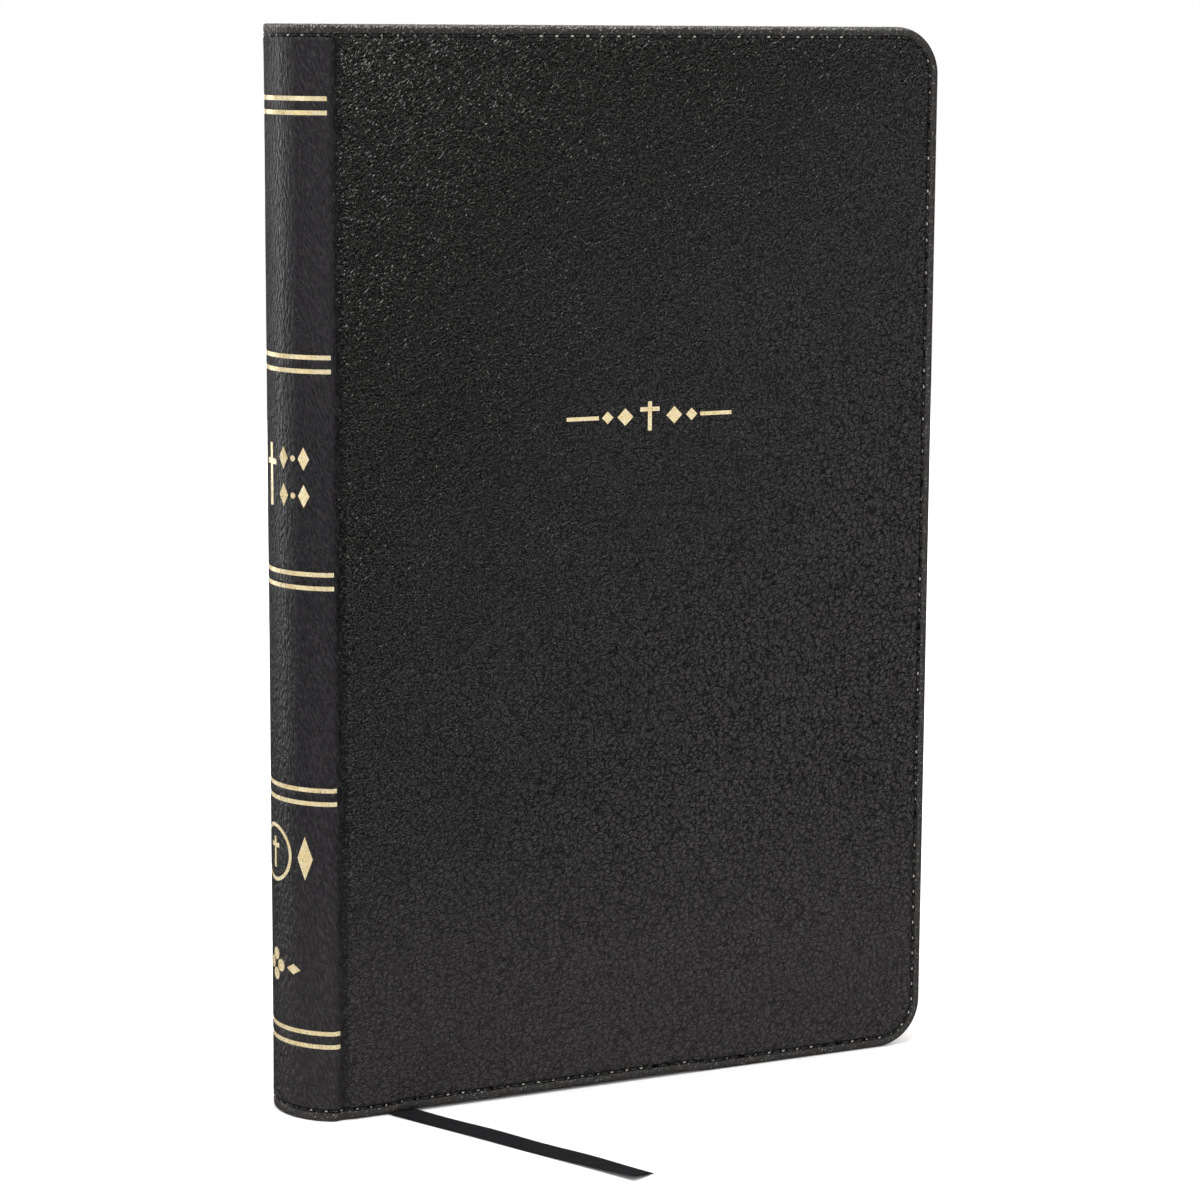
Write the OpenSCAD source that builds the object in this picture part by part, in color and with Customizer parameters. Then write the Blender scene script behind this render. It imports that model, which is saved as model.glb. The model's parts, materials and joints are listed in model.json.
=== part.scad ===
// Thinline bible with a soft leather case, round spine, rounded corners and a ribbon marker.
// It stands closed on its tail edge. +X points to the fore-edge, the front cover faces -Y
// and +Z is up. The origin is at the middle of the tail edge.

/* [Book] */
// Height of the covers, head to tail
book_h = 220; // [200:1:240]
// Overall width, from the back of the round spine to the fore-edge
book_w = 145; // [138:1:160]
// Overall thickness over both closed covers
book_t = 25.4; // [25:0.1:28]
// How far the round spine stands out behind the flat covers
spine_bulge = 7.7; // [7.2:0.1:8.4]
// Radius of the covers' two fore-edge corners
corner_r = 10; // [8:0.5:16]

/* [Covers] */
// Thickness of a finished cover: leather, board and lining
cover_t = 2.2; // [2:0.1:2.4]
// Thickness of the leather on the cover's outer face
leather_t = 0.9; // [0.8:0.05:1]
// Thickness of the stiffening board inside a cover
board_t = 0.9; // [0.8:0.05:0.9]
// How far the leather is turned in over the board's inner face
turn_in = 12; // [8:0.5:16]
// Width of the bare leather joint between the spine and a cover board
joint_w = 7; // [6:0.5:8]
// How much thinner the joint is than the cover, on its outer face
joint_sink = 0.3; // [0.2:0.05:0.4]
// Thickness of the spine leather
spine_skin = 1.2; // [1:0.1:1.3]

/* [Stitching] */
// Distance of the stitch line from the cover's edge
stitch_inset = 2.2; // [1.8:0.1:3]
// Distance from one stitch to the next
stitch_pitch = 3.4; // [3:0.1:4]
// Visible length of one stitch
stitch_len = 2.5; // [2:0.1:2.7]
// Thickness of the thread
stitch_d = 0.44; // [0.3:0.02:0.5]

/* [Text block] */
// How far the covers stand out beyond the pages at head, tail and fore-edge
square_w = 3; // [2.5:0.1:3.2]
// Thickness of all the sections together
block_t = 20.4; // [20:0.1:20.4]
// Number of folded sections in each half of the block
half_sections = 12;
// Depth of the rounded back and of the matching hollow at the fore-edge
block_round = 4.6; // [4:0.1:4.8]
// Radius of the pages' fore-edge corners
page_corner_r = 9; // [5:0.5:10]

/* [Gold tooling] */
// Height of one gold rule on the spine
rule_h = 0.9; // [0.6:0.05:1.2]
// Distance from a rule to its twin below it
rule_pair_gap = 2.75; // [2:0.05:3.5]
// Thickness of the gold foil
foil_t = 0.07; // [0.05:0.01:0.08]

/* [Ribbon] */
// Width of the ribbon marker
ribbon_w = 6; // [5:0.5:7]
// Thickness of the ribbon marker
ribbon_t = 0.28; // [0.2:0.02:0.28]

/* [Hidden] */

leather_colour = "#2a292b";
thread_colour = "#151416";
gold_colour = "#ead9a4";
board_colour = "#8c7a62";
liner_colour = "#1d1c1e";
paper_colour = "#f3eee0";
mull_colour = "#e9e2cf";
band_colour = "#e6d7a8";
ribbon_colour = "#17161a";

gap = 0.05;                     // clearance at a parting line between moving bodies
sides = 96;                     // round shapes
fine_sides = 24;                // threads and small dots

// Places along X
x_back = -book_w / 2;
x_fore = book_w / 2;
x_shoulder = x_back + spine_bulge;
x_hinge = x_shoulder + 0.8;     // the leaves and the leather joint turn here
x_board = x_hinge + joint_w;    // the cover turns here
x_flyleaf = x_board + 1;        // the flyleaf turns here
x_pages = x_fore - square_w - 1;

// Places along Y, for the front half; the rear half is its mirror image
y_out = -book_t / 2;
y_in = y_out + cover_t;
y_pages = -block_t / 2;
y_middle = -0.15;               // half of the slot that holds the ribbon

// The spine's arc
spine_r = (book_t * book_t / 4 + spine_bulge * spine_bulge) / (2 * spine_bulge);
spine_x = x_back + spine_r;

// The arc of the sewn back
back_r = (block_t * block_t / 4 + block_round * block_round) / (2 * block_round);
back_x = x_hinge - gap - block_round + back_r;

z_low = square_w;
z_high = book_h - square_w;
section_pitch = (y_middle - y_pages) / half_sections;
paper_gap = 0.01;               // air between two sections

groove_w = 0.9;                 // channel that the stitches lie in
groove_d = 0.45;
foil_bed = 0.1;                 // depth of the blind tooling under the foil
mull_t = 0.25;
lining_t = 0.35;
thread_r = 0.14;
inlay_t = 0.5;
band_r = 1;
flyleaf_t = 0.18;
pastedown_t = 0.2;

board_inset = 1.6;              // the board's edge, inside the cover's outer edge
board_hinge_inset = 6;          // the leather bends over the board's free edge here

// Middle of each pair's upper rule, as a share of the book's height
rule_heights = [0.9348, 0.7063, 0.5105, 0.312, 0.0837];
rule_half_angle = 61;

// The ribbon's relief in the front cover's tail edge, measured from the cover's hinge
relief_start = 3;
relief_end = 78;
relief_h = 0.45;

// ---------- shapes ----------

module on_side(side) {
    if (side == "rear") mirror([0, 1, 0]) children();
    else children();
}

// A flat slab: an outline in X and Z, from y0 to y1
module slab(y0, y1) {
    translate([0, y1, 0]) rotate([90, 0, 0]) linear_extrude(y1 - y0) children();
}

// A panel's outline with two rounded corners at the fore-edge
module panel_outline(x0, x1, z0, z1, r) {
    translate([x0, z0]) square([x1 - r - x0, z1 - z0]);
    translate([x1 - r - 0.01, z0 + r]) square([r + 0.01, z1 - z0 - 2 * r]);
    for (z = [z0 + r, z1 - r]) translate([x1 - r, z]) circle(r, $fn = sides);
}

module cover_outline(inset, hinge_inset = 0) {
    panel_outline(x_board + gap / 2 + hinge_inset, x_fore - inset, inset, book_h - inset,
                  corner_r - inset);
}

// A curved sheet round a vertical axis at x = cx, between two radii, behind x_max
module back_shell(cx, r_in, r_out, z0, z1, half_y, x_max) {
    intersection() {
        translate([cx, 0, z0]) difference() {
            cylinder(h = z1 - z0, r = r_out, $fn = sides);
            translate([0, 0, -1]) cylinder(h = z1 - z0 + 2, r = r_in, $fn = sides);
        }
        translate([cx - r_out - 1, -half_y, z0 - 1])
            cube([x_max - cx + r_out + 1, 2 * half_y, z1 - z0 + 2]);
    }
}

// A stitch along X, lying on the front face's groove
module stitch() {
    rotate([0, 90, 0]) cylinder(h = stitch_len, d = stitch_d, center = true, $fn = fine_sides);
}

// Places a shape on the spine, at an arc length from the middle towards the front
module on_spine(s, z) {
    translate([spine_x, 0, 0]) rotate([0, 0, s / spine_r * 180 / PI])
        translate([-spine_r, 0, z]) children();
}

// An outline in Y and Z, pushed through the spine's surface
module through_spine(s, z) {
    on_spine(s, z) translate([-1, 0, 0]) rotate([90, 0, 90]) linear_extrude(2) children();
}

module foil_shell(r_in, r_out) {
    translate([spine_x, 0, 0]) difference() {
        cylinder(h = book_h, r = r_out, $fn = sides);
        translate([0, 0, -1]) cylinder(h = book_h + 2, r = r_in, $fn = sides);
    }
}

module lozenge(w, h) {
    polygon([[-w / 2, 0], [0, -h / 2], [w / 2, 0], [0, h / 2]]);
}

// A Latin cross centred on its own height
module latin_cross(w, h, stroke) {
    translate([-stroke / 2, -h / 2]) square([stroke, h]);
    translate([-w / 2, h * 0.16]) square([w, stroke]);
}

// ---------- gold ornament outlines ----------

// A cross between rules that end in lozenges, for the front cover
front_ornament_w = 37.7;
front_ornament_x = x_hinge + 69.2;
front_ornament_z = 0.641 * book_h;
module front_ornament() {
    latin_cross(4.4, 6, 0.9);
    for (dir = [-1, 1]) {
        translate([dir * 5.6, 0]) lozenge(3.6, 3.6);
        translate([dir * 9.6, 0]) lozenge(2.6, 2.6);
        translate([dir * (11.6 + front_ornament_w / 2) / 2, 0])
            square([front_ornament_w / 2 - 11.6, 0.8], center = true);
    }
}

// Two rows of lozenges and dots with a cross between them, for the title panel
title_z = 0.598 * book_h;
title_rows = [3.7, -3.7];
module title_ornament_cutter() {
    through_spine(0, title_z) latin_cross(4.2, 12.6, 1.1);
    for (row = title_rows, dir = [-1, 1]) {
        through_spine(dir * 4.6, title_z + row) lozenge(2.6, 4.6);
        through_spine(dir * 7.2, title_z + row) circle(0.6, $fn = fine_sides);
        through_spine(dir * 9.8, title_z + row) lozenge(2.6, 4.6);
    }
}

// A ring with a small cross in it, between two tall lozenges
badge_z = 0.2475 * book_h;
module badge_ornament_cutter() {
    through_spine(0, badge_z) difference() {
        circle(6, $fn = sides);
        circle(5.2, $fn = sides);
    }
    through_spine(0, badge_z) latin_cross(3.6, 6.4, 0.9);
    for (dir = [-1, 1]) through_spine(dir * 9.4, badge_z) lozenge(3.6, 9);
}

// A quatrefoil flower with a leaf at each side, for the foot of the spine
foot_z = 0.1415 * book_h;
module foot_ornament_cutter() {
    for (place = [[0, 2.1], [2.1, 0], [0, -2.1], [-2.1, 0]])
        through_spine(place[0], foot_z + place[1]) circle(1.3, $fn = fine_sides);
    for (dir = [-1, 1]) through_spine(dir * 6.2, foot_z) lozenge(3.8, 2.2);
}

module foil(r_top = spine_r - foil_bed + foil_t) {
    intersection() {
        foil_shell(spine_r - foil_bed, r_top);
        children();
    }
}

module rule_rings(r_in, r_out) {
    for (share = rule_heights, drop = [0, rule_pair_gap])
        translate([spine_x, 0, share * book_h - drop - rule_h / 2])
            rotate([0, 0, 180 - rule_half_angle])
                rotate_extrude(angle = 2 * rule_half_angle, $fn = sides)
                    translate([r_in, 0]) square([r_out - r_in, rule_h]);
}

// ---------- spine ----------

module spine_leather() {
    color(leather_colour) difference() {
        union() {
            back_shell(spine_x, spine_r - spine_skin, spine_r, 0, book_h, book_t, x_shoulder);
            for (side = ["front", "rear"]) on_side(side)
                slab(y_out, y_out + spine_skin)
                    translate([x_shoulder - 0.3, 0])
                        square([x_hinge - gap / 2 - x_shoulder + 0.3, book_h]);
        }
        rule_rings(spine_r - foil_bed, spine_r + 1);
        foil(spine_r + 1) title_ornament_cutter();
        foil(spine_r + 1) badge_ornament_cutter();
        foil(spine_r + 1) foot_ornament_cutter();
        for (z = [stitch_inset, book_h - stitch_inset])
            translate([spine_x, 0, z - groove_w / 2])
                difference() {
                    cylinder(h = groove_w, r = spine_r + 1, $fn = sides);
                    translate([0, 0, -1])
                        cylinder(h = groove_w + 2, r = spine_r - groove_d, $fn = sides);
                }
    }
}

module spine_inlay() {
    color(board_colour)
        back_shell(spine_x, spine_r - spine_skin - inlay_t, spine_r - spine_skin, 6, book_h - 6,
                   9.6, x_shoulder);
}

module spine_rules() {
    color(gold_colour) rule_rings(spine_r - foil_bed, spine_r - foil_bed + foil_t);
}

module spine_title_ornament() {
    color(gold_colour) foil() title_ornament_cutter();
}

module spine_badge_ornament() {
    color(gold_colour) foil() badge_ornament_cutter();
}

module spine_foot_ornament() {
    color(gold_colour) foil() foot_ornament_cutter();
}

// One row of stitches round the spine
spine_stitches = 8;             // whole stitches between the two shoulders
module spine_stitch_row(z) {
    step = stitch_pitch / spine_r * 180 / PI;
    color(thread_colour)
        for (i = [0 : spine_stitches - 1])
            translate([spine_x, 0, z])
                rotate([0, 0, (i - (spine_stitches - 1) / 2) * step])
                    translate([-spine_r + groove_d / 2, 0, 0]) rotate([0, 0, 90]) stitch();
}

// ---------- sewn back and linings ----------

module sewn_backbone() {
    color(paper_colour) intersection() {
        translate([back_x, 0, z_low]) cylinder(h = z_high - z_low, r = back_r, $fn = sides);
        translate([back_x - back_r - 1, y_pages, z_low - 1])
            cube([x_hinge - gap - back_x + back_r + 1, block_t, book_h]);
    }
}

thread_stations = 6;
module sewing_thread() {
    first = z_low + 24;
    step = (z_high - z_low - 48) / (thread_stations - 1);
    reach = 40;
    color(mull_colour)
        for (i = [0 : thread_stations - 1])
            translate([back_x, 0, first + i * step]) rotate([0, 0, 180 - reach])
                rotate_extrude(angle = 2 * reach, $fn = sides)
                    translate([back_r + thread_r, 0]) circle(thread_r, $fn = fine_sides);
}

module mull_lining() {
    r = back_r + 2 * thread_r;
    color(mull_colour)
        back_shell(back_x, r, r + mull_t, z_low + 12, z_high - 12, 9.6, x_hinge - gap);
}

module spine_paper_lining() {
    r = back_r + 2 * thread_r + mull_t;
    color(board_colour)
        back_shell(back_x, r, r + lining_t, z_low + 4, z_high - 4, 9.4, x_hinge - gap);
}

module band(z) {
    reach = 38;
    color(band_colour)
        translate([back_x, 0, z]) rotate([0, 0, 180 - reach])
            rotate_extrude(angle = 2 * reach, $fn = sides)
                translate([back_r - 1.2, 0]) circle(band_r, $fn = fine_sides);
}

module headband() {
    band(z_high + 0.5 + band_r);
}

module tailband() {
    band(z_low - band_r);
}

// ---------- ribbon ----------

// The held length: glued in the hollow spine, over the head, down the gutter and out at the tail
ribbon_exit_x = -53;
module ribbon_marker() {
    glued = x_hinge - block_round - 1.35;
    gutter = x_hinge + 0.1;
    color(ribbon_colour) {
        translate([glued - ribbon_t, -ribbon_w / 2, 190])
            cube([ribbon_t, ribbon_w, z_high + 0.1 + ribbon_t - 190]);
        translate([glued - ribbon_t, -ribbon_w / 2, z_high + 0.1])
            cube([gutter + ribbon_w - glued + ribbon_t, ribbon_w, ribbon_t]);
        slab(-ribbon_t / 2, ribbon_t / 2) polygon([
            [gutter, z_high + 0.15], [gutter, 75],
            [ribbon_exit_x - ribbon_w / 2, z_low], [ribbon_exit_x + ribbon_w / 2, z_low],
            [gutter + ribbon_w, 75], [gutter + ribbon_w, z_high + 0.15]
        ]);
    }
}

// The loose length: it leaves the pages at the tail, passes under the front cover
// and lies on the table. Each row is a point and the angle that the ribbon's face has turned
// from upright, 0, to flat, 90.
ribbon_route = [
    [-53, 0, 3, 0], [-53, 0, 2, 0], [-53, -0.3, 1.1, 25], [-52.9, -1, 0.45, 60],
    [-52.7, -2, 0.2, 85], [-52.2, -5, 0.15, 90], [-51.2, -9, 0.15, 90],
    [-49.8, -12.8, 0.15, 90], [-47.8, -17, 0.15, 90], [-45, -22.9, 0.15, 90],
    [-42.2, -28.8, 0.15, 90], [-39.5, -34.6, 0.15, 90], [-36.8, -40.4, 0.15, 90],
    [-34.1, -46.2, 0.15, 90], [-31.4, -52, 0.15, 90], [-28.7, -57.8, 0.15, 90],
    [-26.1, -63.6, 0.15, 90], [-23.4, -69.8, 0.15, 90]
];
ribbon_end_slant = 2;           // how much longer one edge is at the cut end
ribbon_section = [
    [-0.5, -0.3], [-0.46, -0.5], [0.46, -0.5], [0.5, -0.3],
    [0.5, 0.3], [0.46, 0.5], [-0.46, 0.5], [-0.5, 0.3]
];

function heading(i) =
    let (a = ribbon_route[max(i - 1, 0)], b = ribbon_route[min(i + 1, len(ribbon_route) - 1)])
    atan2(b[1] - a[1], b[0] - a[0]);
// The direction across the ribbon is level, square to its heading over the table
function across(i) =
    i < 5 ? [1, 0, 0] : [-sin(heading(i)), cos(heading(i)), 0];
function face_normal(i) =
    let (turn = ribbon_route[i][3]) [0, -cos(turn), sin(turn)];
function ribbon_ring(i) = [
    for (corner = ribbon_section)
        let (
            p = ribbon_route[i],
            last = i == len(ribbon_route) - 1 ? 1 : 0,
            along = [cos(heading(i)), sin(heading(i)), 0]
        )
        [p[0], p[1], p[2]] + across(i) * corner[0] * ribbon_w
            + face_normal(i) * corner[1] * ribbon_t
            + along * last * corner[0] * ribbon_end_slant
];
module ribbon_tail() {
    n = len(ribbon_section);
    rings = len(ribbon_route);
    points = [for (i = [0 : rings - 1]) each ribbon_ring(i)];
    walls = [
        for (i = [0 : rings - 2], j = [0 : n - 1])
            [i * n + j, i * n + (j + 1) % n, (i + 1) * n + (j + 1) % n, (i + 1) * n + j]
    ];
    first = [for (j = [n - 1 : -1 : 0]) j];
    last = [for (j = [0 : n - 1]) (rings - 1) * n + j];
    color(ribbon_colour) polyhedron(points, concat([first], walls, [last]));
}

// ---------- text block ----------

function section_name(i) = str("section_", i < 10 ? "0" : "", i);

// The hollow fore-edge follows the rounded back
function fore_edge(y) =
    x_pages - (sqrt(back_r * back_r - y * y) - (back_r - block_round));

// Sections 1 to 12 lie in the front half, 13 to 24 in the rear half, counted through the book
module section(i) {
    front = i <= half_sections;
    place = front ? i - 1 : 2 * half_sections - i;
    y0 = y_pages + place * section_pitch;
    color(paper_colour) on_side(front ? "front" : "rear")
        slab(y0 + paper_gap, y0 + section_pitch - paper_gap)
            panel_outline(x_hinge + gap / 2, fore_edge(y0 + section_pitch / 2), z_low, z_high,
                          page_corner_r);
}

module flyleaf(side) {
    y_mid = (y_in + y_pages) / 2;
    color(paper_colour) on_side(side)
        slab(y_mid - flyleaf_t / 2, y_mid + flyleaf_t / 2)
            panel_outline(x_flyleaf + gap, x_pages, z_low, z_high, page_corner_r);
}

// ---------- joints and covers ----------

module joint_leather(side) {
    color(leather_colour) on_side(side) difference() {
        slab(y_out + joint_sink, y_in + 0.1)
            translate([x_hinge + gap / 2, 0]) square([joint_w - gap, book_h]);
        for (z = [stitch_inset, book_h - stitch_inset])
            translate([x_hinge - 1, y_out - 1, z - groove_w / 2])
                cube([joint_w + 2, 1 + joint_sink + groove_d, groove_w]);
    }
}

module joint_stitches(side) {
    color(thread_colour) on_side(side)
        for (z = [stitch_inset, book_h - stitch_inset], i = [0, 1])
            translate([x_hinge + joint_w / 2 + (i - 0.5) * stitch_pitch,
                       y_out + joint_sink + groove_d / 2, z])
                stitch();
}

module stitch_groove() {
    slab(y_out - 1, y_out + groove_d) difference() {
        cover_outline(stitch_inset - groove_w / 2, -1);
        cover_outline(stitch_inset + groove_w / 2, -2);
    }
}

module front_foil_outline() {
    translate([front_ornament_x, front_ornament_z]) front_ornament();
}

module cover_leather(side) {
    color(leather_colour) on_side(side) difference() {
        slab(y_out, y_in) cover_outline(0);
        // the board's pocket
        slab(y_out + leather_t, y_out + leather_t + board_t) cover_outline(board_inset, board_hinge_inset);
        // the window inside the turned-in leather
        slab(y_out + leather_t, y_in + 1) cover_outline(turn_in, board_hinge_inset);
        // the bed of the pastedown
        slab(y_in - pastedown_t, y_in + 1) cover_outline(square_w, 1);
        stitch_groove();
        if (side == "front") {
            slab(y_out - 1, y_out + foil_bed) front_foil_outline();
            translate([x_board + relief_start, y_out - 1, -1])
                cube([relief_end - relief_start, cover_t + 2, 1 + relief_h]);
        }
    }
}

module cover_board(side) {
    color(board_colour) on_side(side) {
        slab(y_out + leather_t, y_out + leather_t + board_t) cover_outline(board_inset, board_hinge_inset);
        slab(y_out + leather_t + board_t - 0.01, y_in - pastedown_t)
            cover_outline(turn_in, board_hinge_inset);
    }
}

module pastedown(side) {
    color(liner_colour) on_side(side)
        slab(y_in - pastedown_t, y_in) cover_outline(square_w, 1);
}

// Stitches along head, fore-edge and tail, and round the two corners
module cover_stitching(side) {
    bend_r = corner_r - stitch_inset;
    x_bend = x_fore - corner_r;
    y = y_out + groove_d / 2;
    straight = x_bend - x_board;
    row_count = floor(straight / stitch_pitch);
    fore = book_h - 2 * corner_r;
    fore_count = floor(fore / stitch_pitch);
    bend_count = round(bend_r * PI / 2 / stitch_pitch);
    color(thread_colour) on_side(side) {
        for (z = [stitch_inset, book_h - stitch_inset], i = [0 : row_count - 1])
            translate([x_board + (i + 0.5) * straight / row_count, y, z]) stitch();
        for (i = [0 : fore_count - 1])
            translate([x_fore - stitch_inset, y, corner_r + (i + 0.5) * fore / fore_count])
                rotate([0, 90, 0]) stitch();
        for (corner = [0, 1], i = [0 : bend_count - 1])
            let (a = (i + 0.5) * 90 / bend_count)
            translate([x_bend + bend_r * sin(a), y,
                       corner == 0 ? corner_r - bend_r * cos(a)
                                   : book_h - corner_r + bend_r * cos(a)])
                rotate([0, corner == 0 ? -a : a, 0]) stitch();
    }
}

module front_title_ornament() {
    color(gold_colour)
        slab(y_out + foil_bed - foil_t, y_out + foil_bed) front_foil_outline();
}

spine_leather();
spine_inlay();
spine_rules();
spine_title_ornament();
spine_badge_ornament();
spine_foot_ornament();
spine_stitch_row(book_h - stitch_inset);  // spine_head_stitches
spine_stitch_row(stitch_inset);  // spine_tail_stitches
sewn_backbone();
sewing_thread();
mull_lining();
spine_paper_lining();
headband();
tailband();
ribbon_marker();
ribbon_tail();
for (i = [1 : 2 * half_sections])
    section(i);
joint_leather("front");  // front_joint_leather
joint_stitches("front");  // front_joint_stitches
flyleaf("front");  // front_flyleaf
cover_leather("front");  // front_cover_leather
cover_board("front");  // front_board
pastedown("front");  // front_pastedown
cover_stitching("front");  // front_cover_stitching
front_title_ornament();
joint_leather("rear");  // rear_joint_leather
joint_stitches("rear");  // rear_joint_stitches
flyleaf("rear");  // rear_flyleaf
cover_leather("rear");  // back_cover_leather
cover_board("rear");  // back_board
pastedown("rear");  // rear_pastedown
cover_stitching("rear");  // back_cover_stitching
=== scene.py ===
"""A thinline bible in a black leather case with gold tooling and a ribbon marker.

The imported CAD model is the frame. The leather, stitching, gold, pages, headbands and ribbon
are modelled here around it. Sizes are in millimetres and become metres in new_object().
"""
import json
import math
import random

import bmesh
import bpy
import numpy as np
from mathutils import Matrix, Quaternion, Vector, noise


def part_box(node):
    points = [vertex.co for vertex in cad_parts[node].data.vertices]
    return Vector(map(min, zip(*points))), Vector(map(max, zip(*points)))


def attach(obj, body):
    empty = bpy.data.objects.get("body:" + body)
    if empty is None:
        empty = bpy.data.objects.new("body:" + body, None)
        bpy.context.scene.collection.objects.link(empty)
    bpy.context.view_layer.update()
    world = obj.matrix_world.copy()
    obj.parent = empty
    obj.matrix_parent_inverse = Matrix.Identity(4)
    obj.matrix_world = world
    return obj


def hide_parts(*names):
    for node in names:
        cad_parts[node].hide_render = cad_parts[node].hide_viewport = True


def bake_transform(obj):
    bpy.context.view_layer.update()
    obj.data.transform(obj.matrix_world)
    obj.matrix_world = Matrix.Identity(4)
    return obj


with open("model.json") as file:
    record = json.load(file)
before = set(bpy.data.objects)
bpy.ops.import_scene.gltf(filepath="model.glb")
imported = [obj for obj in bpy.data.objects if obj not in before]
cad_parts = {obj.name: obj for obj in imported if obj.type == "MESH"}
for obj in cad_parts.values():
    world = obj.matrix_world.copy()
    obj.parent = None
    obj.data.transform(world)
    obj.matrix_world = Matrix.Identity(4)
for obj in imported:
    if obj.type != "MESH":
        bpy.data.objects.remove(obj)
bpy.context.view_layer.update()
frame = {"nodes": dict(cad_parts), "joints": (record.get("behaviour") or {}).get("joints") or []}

MM = 0.001
SIDES = ("front", "rear")

# ---------- sizes, from the frame ----------


def span(node):
    """A CAD node's lowest and highest corner, in millimetres."""
    low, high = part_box(node)
    return low / MM, high / MM


def joint_x(name):
    """Where an upright hinge line stands along X, in millimetres."""
    joint = next(j for j in frame["joints"] if j["name"] == name)
    return joint["pos_m"][0] / MM


spine_low, _ = span("spine_leather")
cover_low, cover_high = span("front_cover_leather")
pages_low, pages_high = span("section_01")

BOOK_H = cover_high.z
X_BACK = spine_low.x
X_FORE = cover_high.x
Y_OUT = cover_low.y
Y_IN = cover_high.y
X_HINGE = joint_x("front_leaves_hinge")
X_BOARD = joint_x("front_cover_hinge")
PAGE_LOW = pages_low.z
PAGE_HIGH = pages_high.z
CORNER_R = 10
PAGE_CORNER_R = 9
COVER_T = Y_IN - Y_OUT

# The spine's arc, from its bulge behind the covers and the book's thickness
SPINE_BULGE = 7.7
SPINE_R = (Y_OUT ** 2 + SPINE_BULGE ** 2) / (2 * SPINE_BULGE)
SPINE_X = X_BACK + SPINE_R
SPINE_T = 1.2

# The soft shoulder that turns the arc into the flat cover
SHOULDER_R = 4
SHOULDER_START = math.asin((-Y_OUT - SHOULDER_R) / (SPINE_R - SHOULDER_R))
ARC_LENGTH = SPINE_R * SHOULDER_START
SHOULDER_LENGTH = SHOULDER_R * (math.pi / 2 - SHOULDER_START)
S_FLAT = ARC_LENGTH + SHOULDER_LENGTH
X_FLAT = SPINE_X - (SPINE_R - SHOULDER_R) * math.cos(SHOULDER_START)
SHOULDER_Y = Y_OUT + SHOULDER_R

# The French groove between the spine and the board
GROOVE_MIDDLE = X_HINGE + 1.3
GROOVE_HALF = 2.4
GROOVE_DEPTH = 0.5

# Stitching
STITCH_INSET = 2.2
STITCH_PITCH = 3.4
STITCH_LENGTH = 2.5
PLY_R = 0.125
ROW_STITCHES = 35
BEND_STITCHES = 4
FORE_STITCHES = 58

# Where the spine's leather ends and the cover's leather begins
X_SEAM = X_HINGE + 4

# The ribbon's relief in the front cover's tail edge
RELIEF_START = X_BOARD + 3
RELIEF_END = X_BOARD + 78
RELIEF_H = 0.45
RELIEF_RAMP = 6
RELIEF_FADE = (1, 9)


def s_at(x):
    """Length along the leather's flat pattern, from the spine's middle, of a flat place."""
    return S_FLAT + (x - X_FLAT)


S_SEAM = s_at(X_SEAM)
S_BOARD = s_at(X_BOARD)
S_FORE = s_at(X_FORE)
S_CORNER = S_FORE - CORNER_R

ROW_PITCH = (S_CORNER - S_BOARD) / ROW_STITCHES
FORE_PITCH = (BOOK_H - 2 * CORNER_R) / FORE_STITCHES

# The pattern is cut finely at these distances from an edge, round the stitches
EDGE_CUTS = [1.35, 1.6, 1.8, 1.95, 2.1, 2.2, 2.3, 2.45, 2.6, 2.8, 3.1, 3.6, 4.4]

# ---------- mesh and material helpers ----------


def new_object(name, points, faces, material, sharp_angle=50):
    """A mesh object from points in millimetres."""
    mesh = bpy.data.meshes.new(name)
    mesh.from_pydata((np.asarray(points, float) * MM).tolist(), [], faces)
    mesh.validate()
    mesh.shade_smooth()
    mesh.set_sharp_from_angle(angle=math.radians(sharp_angle))
    mesh.materials.append(material)
    # The place of each point at rest, in millimetres, which the materials read for their textures
    rest = np.empty(len(mesh.vertices) * 3, np.float32)
    mesh.vertices.foreach_get("co", rest)
    mesh.attributes.new("rest", "FLOAT_VECTOR", "POINT").data.foreach_set("vector", rest / MM)
    obj = bpy.data.objects.new(name, mesh)
    bpy.context.scene.collection.objects.link(obj)
    return obj


def turn_faces_out(obj):
    """Makes every face of a closed piece look outwards."""
    mesh = bmesh.new()
    mesh.from_mesh(obj.data)
    bmesh.ops.recalc_face_normals(mesh, faces=mesh.faces)
    mesh.to_mesh(obj.data)
    mesh.free()


def mark(obj, name, domain, values):
    """Keeps one number for each point or face, for the piece's material."""
    layer = obj.data.attributes.new(name, "FLOAT", domain)
    layer.data.foreach_set("value", np.asarray(values, np.float32))


def blend_along(obj, second, side):
    """Bakes the piece's placement into its mesh. The second body is not used."""
    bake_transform(obj)


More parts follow.
